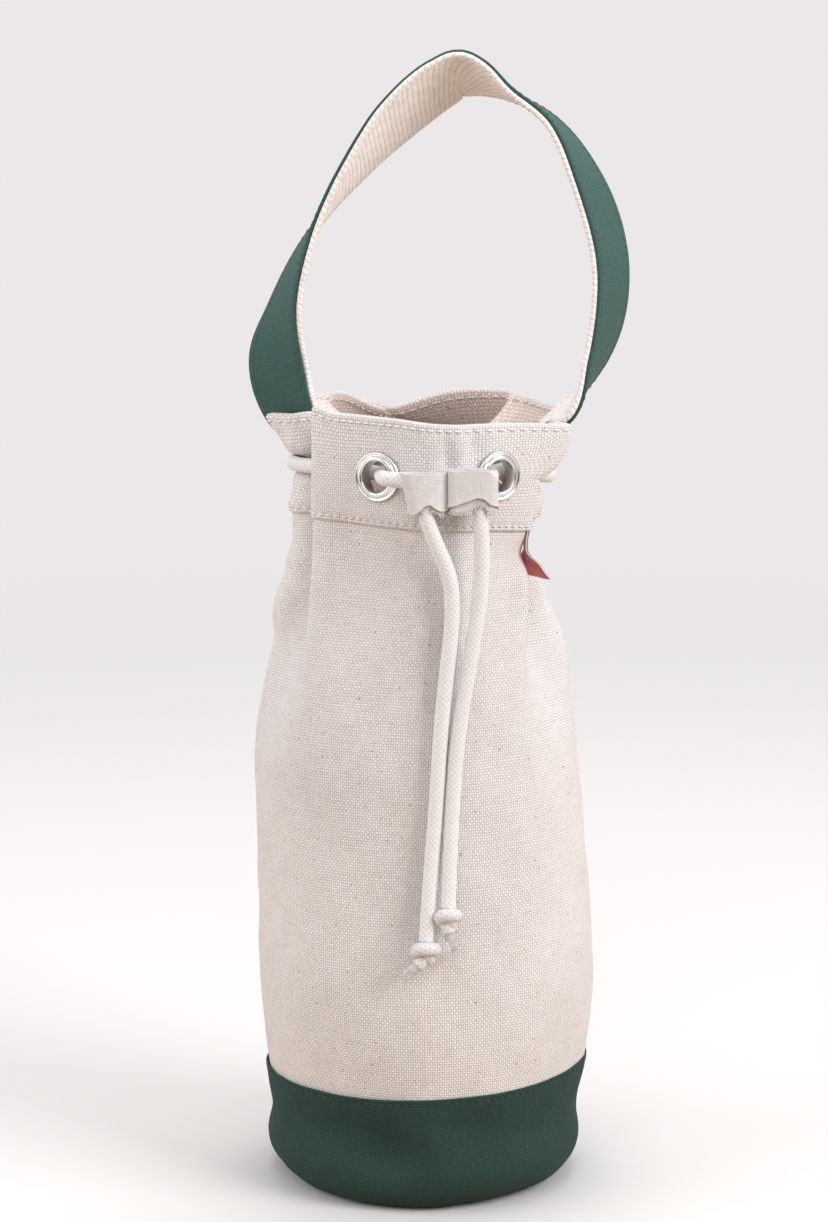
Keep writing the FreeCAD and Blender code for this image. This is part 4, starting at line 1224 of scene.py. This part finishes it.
def make_eyelets():
    metal = finish("nickel_plate")
    for node in WASHERS:
        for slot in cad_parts[node].material_slots:
            slot.material = metal
    for node, (centre, outward) in zip(EYELETS, eyelet_axes()):
        spots = np.array([vertex.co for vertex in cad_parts[node].data.vertices]) / MM - centre
        axis = np.linalg.svd(spots - spots.mean(axis=0), full_matrices=False)[2][2]
        axis = axis * np.sign(axis @ outward)
        deep = spots @ axis
        section = np.concatenate([np.array(EYELET_FACE) + (0.0, deep.max() - EYELET_DOME),
                                  np.array(EYELET_LIP) + (0.0, deep.min())])
        aside = unit(np.cross(UP, axis))
        flat = section[:, None, :1] * spokes(aside, np.cross(axis, aside), EYELET_SIDES)
        shell = Shell()
        index = shell.grid(centre + flat + section[:, None, 1:] * axis, np.arange(EYELET_SIDES + 1.0),
                           np.arange(len(section) * 1.0), closed=True)
        shell.wall(index[-1], index[0])
        dress(shell.piece(node.replace("eyelet", "eyelet_ring"), metal), "bag", "nickel", node)


def smooth_route(name, points):
    """Points along a smooth curve with the given control points, in metres."""
    curve = bpy.data.curves.new(name, "CURVE")
    curve.dimensions = "3D"
    spline = curve.splines.new("NURBS")
    spline.points.add(len(points) - 1)
    for point, place in zip(spline.points, points):
        point.co = (*place, 1.0)
    spline.order_u = 3
    spline.use_endpoint_u = True
    spline.resolution_u = 32
    holder = bpy.data.objects.new(name, curve)
    mesh = bpy.data.meshes.new_from_object(holder)
    line = np.array([vertex.co for vertex in mesh.vertices])
    bpy.data.meshes.remove(mesh)
    bpy.data.objects.remove(holder)
    bpy.data.curves.remove(curve)
    return line


def braid_height(share, run, strands, lay):
    """Height of the crossing strands at a share of the way round and a run along."""
    wound = run / lay * strands
    heights = []
    for own, other, sign in ((share * strands + wound, share * strands - wound, 0.5),
                             (share * strands - wound, share * strands + wound, -0.5)):
        across = np.sqrt(np.maximum(0, 1 - (2 * (own % 1) - 1) ** 2))
        turn = sign * (1 - 2 * (np.floor(own) % 2))
        heights.append(across * (0.5 + turn * np.sin(math.pi * other)))
    return np.maximum(*heights)


# Relief of the cord's braid, points round the cord, and the braid's height at the cord's radius
CORD_RELIEF, CORD_SIDES, BRAID_MIDDLE = 0.2, 32, 0.75


def braid_tube(shell, line, radius, relief=CORD_RELIEF, sides=CORD_SIDES):
    """A braided tube along a line of points in millimetres; gives the even points of its middle."""
    cord = bpy.context.scene.carrier_cord
    line = evenly(line, CORD_STEP)
    run = np.arange(len(line)) * CORD_STEP
    share = np.arange(sides) / sides
    height = braid_height(share[None], run[:, None], cord.strands, cord.lay / MM)
    sweep(shell, line, radius + relief * (height - BRAID_MIDDLE), sides)
    return line


# Turns of a knot from the end of the cord's tail: to the right, to the front, down
KNOT_TURN = (
    (0.0, 0.0, -0.6), (0.2, 0.2, 1.4), (0.6, 0.6, 3.4), (1.6, 0.0, 5.4), (0.8, -2.2, 6.4), (-2.2, -2.4, 5.2),
    (-3.6, 0.2, 3.4), (-2.2, 3.1, 2.3), (1.2, 3.6, 2.0), (3.6, 1.4, 2.2), (3.2, -1.8, 2.8), (0.4, -2.6, 3.8),
    (-1.4, -0.6, 5.4),
)
# Ends of the cord: side, last and last but one point of the route, way of the tip, its drop and stand-off, knot's size
TAILS = (
    ("right", 0, 1, (0.3, -0.1, -0.95), 6.2, 1.4, 0.78),
    ("left", -1, -2, (-0.72, -0.1, -0.68), 5.6, 3.0, 0.92),
)
TIP_LENGTH, END_GAP = 6.8, 0.1
# Knot: share of the cord's radius, relief, points round it, and how far its end runs before and into the tip
KNOT_SHARE, KNOT_RELIEF, KNOT_SIDES, KNOT_BEFORE, KNOT_INTO = 0.9, 0.18, 24, 2.2, 0.6
# Bare cord in a sleeve: radius, relief, points round it, its start before the tip, and share of the tip's length
CORE_RADIUS, CORE_RELIEF, CORE_SIDES, CORE_BEFORE, CORE_SHARE = 1.5, 0.1, 20, 0.4, 0.45
# Sleeve over a tip: points round it, radius at its start, taper, and radii down its mouth
SLEEVE_SIDES, SLEEVE_RADIUS, SLEEVE_TAPER = 28, 2.2, 0.6
SLEEVE_MOUTH, SLEEVE_MOUTH_START = (0.74, 0.72, 0.68, 0.6, 0.3), 0.8
# Share of the sleeve where its round end starts, length of that end, and how much the sleeve is flattened
SLEEVE_END, SLEEVE_END_LENGTH, SLEEVE_FLAT = 0.86, 0.17, 0.10


def make_drawcord():
    cord = bpy.context.scene.carrier_cord
    radius = cord.diameter / MM / 2
    shell = Shell()
    line = braid_tube(shell, smooth_route("cord_route", CORD_ROUTE) / MM, radius)
    braid = dress(shell.piece("drawcord_braid", finish("cord_braid")), "bag", "white_cord", "drawcord")
    ends = []
    for side, end, before, way, drop, stand, size in TAILS:
        last, earlier = (np.array(CORD_ROUTE[i]) / MM for i in (end, before))
        ends += make_tail_end(side, last, unit(last - earlier), unit(np.array(way)), drop, stand, size, radius)


def make_tail_end(side, last, down, way, drop, stand, size, radius):
    """The tied knot, the bare tip and the clear sleeve at the end of one tail."""
    right = unit(np.array((1.0, 0.0, 0.0)) - down * down[0])
    front = unit(np.array((0.0, -1.0, 0.0)) - down * -down[1])
    top = last + down * END_GAP
    tip = top + down * drop + way * stand
    turns = [top + right * a * size + front * b * size + down * c for a, b, c in KNOT_TURN]
    turns += [tip - way * KNOT_BEFORE, tip + way * KNOT_INTO]
    knot = Shell()
    line = smooth_route("knot_route", np.array(turns) * MM) / MM
    braid_tube(knot, line, radius * KNOT_SHARE, KNOT_RELIEF, KNOT_SIDES)
    knot = dress(knot.piece("knot_tied_" + side, finish("glazed_braid")), "bag", "white_cord", "knot_" + side)

    core = Shell()
    line = np.linspace(tip - way * CORE_BEFORE, tip + way * TIP_LENGTH * CORE_SHARE, 12)
    braid_tube(core, line, CORE_RADIUS, CORE_RELIEF, CORE_SIDES)
    core = dress(core.piece("tip_core_" + side, finish("cord_braid")), "bag", "white_cord")
    return [knot, core, make_sleeve(side, tip, way)]


def make_sleeve(side, tip, way):
    """The clear sleeve of one tip, flattened to its end, with a mouth that runs back into it."""
    share = np.linspace(0, 1, 30)
    along = np.append(share, np.linspace(1.0, SLEEVE_MOUTH_START, len(SLEEVE_MOUTH) + 1)[1:])[:, None]
    radius = SLEEVE_RADIUS - SLEEVE_TAPER * smooth(share * 1.1)
    closing = np.maximum(0, (share - SLEEVE_END) / SLEEVE_END_LENGTH)
    radius = radius * np.sqrt(np.maximum(0.02, 1 - closing ** 2))
    radius = np.append(radius, SLEEVE_MOUTH)[:, None]
    flat = 1 + SLEEVE_FLAT * np.cos(2 * round_angles(SLEEVE_SIDES))[None] * smooth(along)
    line = tip + way * (along * TIP_LENGTH)
    aside = unit(np.cross(way, (0.0, 1.0, 0.0)))
    rings = line[:, None] + spokes(aside, np.cross(way, aside), SLEEVE_SIDES) * (radius * flat)[..., None]
    shell = Shell()
    shell.tube(rings, np.arange(SLEEVE_SIDES + 1.0), np.arange(len(line) * 1.0))
    return dress(shell.piece("tip_sleeve_" + side, finish("clear_sleeve")), "bag", "clear_plastic", "tip_" + side)


# Slider strip seen from above: out from its middle, and forward of its back ply
SLIDER_TURN = (
    (1.0, 4.3), (0.4, 5.0), (0.3, 6.0), (1.3, 7.0), (4.0, 7.4), (8.0, 7.5), (11.6, 7.4), (14.2, 6.6), (15.5, 4.9),
    (15.5, 2.7), (14.2, 0.9), (11.0, 0.5), (6.0, 0.5), (0.0, 0.5), (-6.0, 0.5), (-11.0, 0.5), (-14.2, 0.9),
    (-15.4, 2.8), (-15.2, 5.0), (-13.6, 6.6), (-10.4, 7.2), (-7.0, 7.1), (-4.6, 6.7), (-2.6, 6.0), (-1.2, 5.1),
    (-0.2, 4.3), (0.8, 3.7),
)
# Lower edge of the slider's front: out from its middle, rise of the outer ply, rise of the turned-in ply
SLIDER_EDGE = (
    (-15.6, 0.6, 1.8), (-14.4, 0.0, 2.0), (-13.0, 0.5, 2.8), (-11.0, 1.9, 3.9), (-9.0, 3.1, 4.2), (-7.2, 3.5, 3.4),
    (-5.2, 2.3, 1.4), (-2.6, 1.2, 0.5), (-1.0, 1.4, 0.4), (0.2, 2.4, 0.9), (2.4, 3.2, 0.8), (5.2, 4.4, 1.0),
    (7.6, 5.2, 2.0), (9.6, 5.7, 3.6), (11.4, 5.3, 3.4), (12.8, 4.2, 1.6), (14.0, 3.2, 0.8), (15.6, 2.6, 1.2),
)
SLIDER_STEP, SLIDER_ROWS, SLIDER_TALL = 0.35, 28, 14.0
# Slant of the left end and how far out it is full, flare of the lower edge and share of the height that it takes
SLIDER_SLANT, SLIDER_SLANT_OUT, SLIDER_FLARE, SLIDER_FLARE_SHARE = 0.22, 15.0, 0.3, 0.1
# Where the strip's front starts over its back ply, and over which depth
SLIDER_FRONT, SLIDER_FRONT_RISE = 2.0, 3.0
# Lower edge over the solid's foot, upper edge over its top, and rise of the back's lower edge in both plies
SLIDER_FOOT, SLIDER_HEAD, SLIDER_BACK_OUTER, SLIDER_BACK_TURNED = 0.2, 0.4, 0.3, 0.6
# Dips of the upper edge: where they start, how far out they are full, depth
SLIDER_DIPS = ((0.0, -1.5, 1.1), (11.8, 4.0, 2.6))
# Unevenness of the lower edge, the turned-in edge and the upper edge
FRAY_LOWER, FRAY_TURNED, FRAY_UPPER = 0.16, 0.2, 0.08
# Loose threads: radius, shortest and longest drop, swing, and rise of their roots into the hem
THREAD_RADIUS, THREAD_DROP, THREAD_SWING, THREAD_ROOT = 0.13, (0.4, 1.6), 0.4, 0.8
# Stitches between the tunnels: out from the middle, forward of the back, rests at the foot and the top
TUNNEL_OUT, TUNNEL_FRONT, TUNNEL_FOOT, TUNNEL_TOP = 2.6, 7.45, 3.4, 0.8
TUNNEL_PITCH, TUNNEL_LENGTH, TUNNEL_THICK, TUNNEL_LIFT = 1.9, 1.4, 0.34, 0.2
# Depths of the outer ply and of the hem turned in behind it, and the hem's height
SLIDER_OUTER, SLIDER_TURNED, SLIDER_HEM = (-0.4, 0.35), (0.42, 0.8), 3.5


def slider_strip():
    """Even points along the slider strip seen from above, and one on its front and none on its back."""
    turn = evenly(curve_through(SLIDER_TURN), SLIDER_STEP)
    return turn, smooth((turn[:, 1] - SLIDER_FRONT) / SLIDER_FRONT_RISE)


def slider_ply(shell, depths, bottoms, tops, middle, back, ceiling):
    """A ply of the slider strip between two depths; gives its outer face."""
    turn, front = slider_strip()
    out = flat_ways(turn)[1]
    rows = np.linspace(0, 1, SLIDER_ROWS)
    heights = mix(bottoms[None], tops[None], rows[:, None])
    slant = (heights - ceiling) * SLIDER_SLANT * smooth(-turn[:, 0] / SLIDER_SLANT_OUT)[None]
    flare = SLIDER_FLARE * np.exp(-rows / SLIDER_FLARE_SHARE)[:, None] * front[None]
    faces = []
    for depth in depths:
        flat = turn[None] - out[None] * (depth - flare[..., None])
        faces.append(np.stack([middle + flat[..., 0] - slant, back - flat[..., 1], heights], axis=-1))
    run, tall = np.arange(len(turn)) * SLIDER_STEP, rows * SLIDER_TALL
    outside = shell.grid(faces[0], run, tall)
    inside = shell.grid(faces[1], run, tall, flip=True)
    shell.wall(grid_edge(inside), grid_edge(outside))
    return faces[0]


def make_slider():
    low, high = box_mm("cord_slider")
    middle, back, foot, ceiling = (low[0] + high[0]) / 2, high[1], low[2] + SLIDER_FOOT, high[2]
    turn, front = slider_strip()
    count = len(turn)
    rng = np.random.default_rng(11)
    rough = np.convolve(rng.normal(0, 1, count + 8), np.ones(5) / 5, "valid")[:count]
    edge = curve_through(SLIDER_EDGE, 400)
    outer, turned = (np.interp(turn[:, 0], edge[:, 0], edge[:, k]) for k in (1, 2))
    bottoms = foot + mix(SLIDER_BACK_OUTER, outer, front) + FRAY_LOWER * rough
    dips = sum(depth * smooth((turn[:, 0] - start) / over) for start, over, depth in SLIDER_DIPS)
    tops = ceiling + SLIDER_HEAD - dips + FRAY_UPPER * rough[::-1]
    shell = Shell()
    slider_ply(shell, SLIDER_OUTER, bottoms, tops, middle, back, ceiling)
    inner = foot + mix(SLIDER_BACK_TURNED, turned, front) + FRAY_TURNED * rough[::-1]
    hem = slider_ply(shell, SLIDER_TURNED, inner, np.maximum(inner, bottoms) + SLIDER_HEM, middle, back, ceiling)
    dress(shell.piece("slider_cloth", finish("slider_cotton")), "slider", "natural_canvas", "cord_slider")

    threads = Shell()
    for i in np.nonzero(front > 0.3)[0]:
        root = hem[0, i]
        drop = rng.uniform(*THREAD_DROP)
        swing = rng.normal(0, THREAD_SWING, 3) + np.array((0.0, -THREAD_SWING / 2, 0.0))
        knee, end = root - UP * drop * 0.6 + swing * 0.5, root - UP * drop + swing
        line = np.array([root + UP * THREAD_ROOT, root, knee, end])
        sweep(threads, curve_through(line, 7), THREAD_RADIUS, 5)
    heights = np.linspace(low[2] + TUNNEL_FOOT, ceiling - TUNNEL_TOP, 20)
    seam = np.array([(middle + TUNNEL_OUT, back - TUNNEL_FRONT, height) for height in heights])
    outs = np.tile((-0.2, -0.98, 0.0), (len(seam), 1))
    stitch_row(threads, seam, outs, TUNNEL_PITCH, TUNNEL_LENGTH, TUNNEL_THICK, TUNNEL_LIFT)
    dress(threads.piece("slider_threads", finish("cream_thread")), "slider", "natural_canvas")


# Tag: width, half its thickness, opening of its fold, step along it, and length over which it bends at its sewn edge
TAG_WIDTH, TAG_HALF, TAG_OPEN, TAG_STEP, TAG_BEND = 12.0, 0.17, 0.34, 0.35, 5.0
TAG_TOP = np.array((34.8, -29.0, 229.9))
# Fall of the tag: down, out
TAG_FALL = ((0.0, 0.0), (4.2, -0.6), (8.4, -0.2), (11.6, 1.0), (14.2, 2.8), (16.0, 4.4), (17.0, 5.4))
# Where the tag faces at its top and its end, as an angle from the front, and the fall over which it turns
TAG_TURN_TOP, TAG_TURN_END = math.radians(93.0), math.radians(125.0)
TAG_TURN_START, TAG_TURN_FALL = 7.0, 6.0
# Curl across the tag: depth, turn per millimetre across, and the fall over which it grows
TAG_CURL, TAG_CURL_TURN, TAG_CURL_FALL = 0.3, 0.45, 10.0


def make_tag():
    fall = curve_through(TAG_FALL, 60)
    way, out = flat_ways(fall)
    turn = np.linspace(-math.pi / 2, math.pi / 2, 9)[1:-1]
    fold = fall[-1] + TAG_OPEN * (way[-1] * np.cos(turn)[:, None] - out[-1] * np.sin(turn)[:, None])
    line = evenly(np.concatenate([fall + out * TAG_OPEN, fold, (fall - out * TAG_OPEN)[::-1]]), TAG_STEP)
    out = flat_ways(line)[1]
    across = np.linspace(-TAG_WIDTH / 2, TAG_WIDTH / 2, 19)
    layers = []
    for side in (1, -1):
        flat = line + out * side * TAG_HALF
        angle = mix(TAG_TURN_TOP, TAG_TURN_END, smooth((flat[:, 0] - TAG_TURN_START) / TAG_TURN_FALL))
        outward = np.stack([np.sin(angle), -np.cos(angle), np.zeros_like(angle)], axis=1)
        wide = np.stack([np.cos(angle), np.sin(angle), np.zeros_like(angle)], axis=1)
        curl = TAG_CURL * np.sin(across * TAG_CURL_TURN)[None] * smooth(flat[:, 0] / TAG_CURL_FALL)[:, None]
        spots = (TAG_TOP - UP * flat[:, :1, None] + outward[:, None] * (flat[:, 1:] + curl)[..., None]
                 + wide[:, None] * across[None, :, None])
        layers.append(spots)
    shell = Shell()
    run = np.arange(len(line)) * TAG_STEP
    outside = shell.grid(layers[0], across + TAG_WIDTH / 2, run)
    inside = shell.grid(layers[1], across + TAG_WIDTH / 2 + INSIDE_PLACE, run, flip=True)
    shell.wall(grid_edge(inside), grid_edge(outside), (INSIDE_PLACE, 0.0))
    ribbon = shell.piece("tag_ribbon", finish("woven_ribbon"))
    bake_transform(ribbon)
    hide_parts("side_tag")


FLOOR_REACH = 4000.0
# Place that the lights point at, in metres
LIGHT_AIM = Vector((0, 0, 0.18))
# Even light all round, its dark side, and that side as the metal mirrors it
SKY_LIGHT, SKY_SHADE, SKY_MIRRORED = (1.0, 0.985, 0.98), (0.16, 0.13, 0.11), (0.10, 0.08, 0.07, 1.0)
# The dark side grows towards the front, and fades out upward
SHADE_FRONT, SHADE_UP = (-0.15, -0.75), (0.75, 0.2)


def make_stage():
    stage = bpy.context.scene.carrier_stage
    camera = bpy.data.objects.new("camera", bpy.data.cameras.new("camera"))
    camera.location = (-stage.aside, -stage.distance, stage.height)
    camera.rotation_euler = (math.pi / 2 - stage.tilt, 0, 0)
    camera.data.lens = stage.lens
    bpy.context.scene.collection.objects.link(camera)
    bpy.context.scene.camera = camera

    # Name, watts, size and place of each light
    lights = (
        ("key_light", stage.key, 1.0, (1.35, -0.88, 1.05)),
        ("fill_light", stage.fill * 1.2, 1.3, (-1.5, -0.45, 0.7)),
        ("top_light", stage.fill, 1.0, (0.1, 0.5, 1.7)),
        ("front_light", stage.fill * 0.8, 1.2, (-0.35, -1.7, 1.3)),
    )
    for name, power, size, place in lights:
        lamp = bpy.data.lights.new(name, "AREA")
        lamp.energy, lamp.size = power, size
        holder = bpy.data.objects.new(name, lamp)
        holder.location = place
        holder.visible_camera = False
        holder.rotation_euler = (LIGHT_AIM - Vector(place)).to_track_quat("-Z", "Y").to_euler()
        bpy.context.scene.collection.objects.link(holder)

    world = bpy.data.worlds.new("studio")
    bpy.context.scene.world = world
    world.use_nodes = True
    nodes = Nodes(world.node_tree)
    sky = world.node_tree.nodes["Background"]
    towards = nodes.add("ShaderNodeSeparateXYZ", {0: nodes.add("ShaderNodeTexCoord").outputs["Generated"]}).outputs
    dim = nodes.times(nodes.ramp(towards[1], *SHADE_FRONT), nodes.ramp(towards[2], *SHADE_UP))
    lit = nodes.blend(dim, shaded(SKY_LIGHT, stage.sky), shaded(SKY_SHADE, stage.sky))
    mirrored = nodes.times(dim, nodes.add("ShaderNodeLightPath").outputs["Is Glossy Ray"])
    shown = nodes.blend(mirrored, shaded(stage.backdrop, 1.0), SKY_MIRRORED)
    nodes.feed(sky.inputs["Color"], nodes.blend(seen_rays(nodes), lit, shown))

    shell = Shell()
    reach = np.array((-FLOOR_REACH, FLOOR_REACH))
    shell.grid(np.array([[(x, y, -FLOOR_GAP) for x in reach] for y in reach]), reach, reach)
    shell.piece("floor", floor_material(stage.floor, stage.bounce))
    bpy.context.scene.view_settings.view_transform = "Standard"


class PieceOperator:
    """What every piece's operator shares."""

    bl_options = {"REGISTER", "UNDO"}

    def execute(self, context):
        self.build()
        return {"FINISHED"}


class CARRIER_OT_stage(PieceOperator, bpy.types.Operator):
    """Set up the camera, the lights and the pale floor"""

    bl_idname = "carrier.stage"
    bl_label = "Stage"
    build = staticmethod(make_stage)


class CARRIER_OT_drawcord(PieceOperator, bpy.types.Operator):
    """Braid the drawcord with its knots and clear end sleeves"""

    bl_idname = "carrier.drawcord"
    bl_label = "Drawcord"
    build = staticmethod(make_drawcord)


class CARRIER_OT_body(PieceOperator, bpy.types.Operator):
    """Sew the natural canvas body"""

    bl_idname = "carrier.body"
    bl_label = "Body"
    build = staticmethod(make_body)


class CARRIER_OT_collar(PieceOperator, bpy.types.Operator):
    """Sew the collar band with its rolled rim and topstitching"""

    bl_idname = "carrier.collar"
    bl_label = "Collar"
    build = staticmethod(make_collar)


class CARRIER_OT_base(PieceOperator, bpy.types.Operator):
    """Sew the green base band and the bottom"""

    bl_idname = "carrier.base"
    bl_label = "Base"
    build = staticmethod(make_base)


class CARRIER_OT_handle(PieceOperator, bpy.types.Operator):
    """Make the strap of webbing and green facing"""

    bl_idname = "carrier.handle"
    bl_label = "Handle"
    build = staticmethod(make_handle)


class CARRIER_OT_eyelets(PieceOperator, bpy.types.Operator):
    """Plate the eyelets and washers"""

    bl_idname = "carrier.eyelets"
    bl_label = "Eyelets"
    build = staticmethod(make_eyelets)


class CARRIER_OT_slider(PieceOperator, bpy.types.Operator):
    """Sew the two-tunnel cord slider"""

    bl_idname = "carrier.slider"
    bl_label = "Slider"
    build = staticmethod(make_slider)


class CARRIER_OT_tag(PieceOperator, bpy.types.Operator):
    """Fold the plain ribbon tag"""

    bl_idname = "carrier.tag"
    bl_label = "Tag"
    build = staticmethod(make_tag)


OPERATORS = (
    CARRIER_OT_stage, CARRIER_OT_drawcord, CARRIER_OT_body, CARRIER_OT_collar, CARRIER_OT_base,
    CARRIER_OT_handle, CARRIER_OT_eyelets, CARRIER_OT_slider, CARRIER_OT_tag,
)
GROUPS = (("carrier_cloth", CarrierCloth), ("carrier_cord", CarrierCord), ("carrier_stage", CarrierStage))


class CARRIER_PT_panel(bpy.types.Panel):
    """Sizes, colours and pieces of the carrier"""

    bl_idname = "CARRIER_PT_panel"
    bl_label = "Carrier"
    bl_space_type = "VIEW_3D"
    bl_region_type = "UI"
    bl_category = "Carrier"

    def draw(self, context):
        for name, group in GROUPS:
            column = self.layout.column(align=True)
            for key in group.__annotations__:
                column.prop(getattr(context.scene, name), key)
        for operator in OPERATORS:
            self.layout.operator(operator.bl_idname)


def register():
    for name, group in GROUPS:
        bpy.utils.register_class(group)
        setattr(bpy.types.Scene, name, PointerProperty(type=group))
    for kind in (*OPERATORS, CARRIER_PT_panel):
        bpy.utils.register_class(kind)


def unregister():
    for kind in (CARRIER_PT_panel, *reversed(OPERATORS)):
        bpy.utils.unregister_class(kind)
    for name, group in reversed(GROUPS):
        delattr(bpy.types.Scene, name)
        bpy.utils.unregister_class(group)


def main():
    register()
    for operator in OPERATORS:
        family, name = operator.bl_idname.split(".")
        getattr(getattr(bpy.ops, family), name)()


if __name__ == "__main__":
    main()
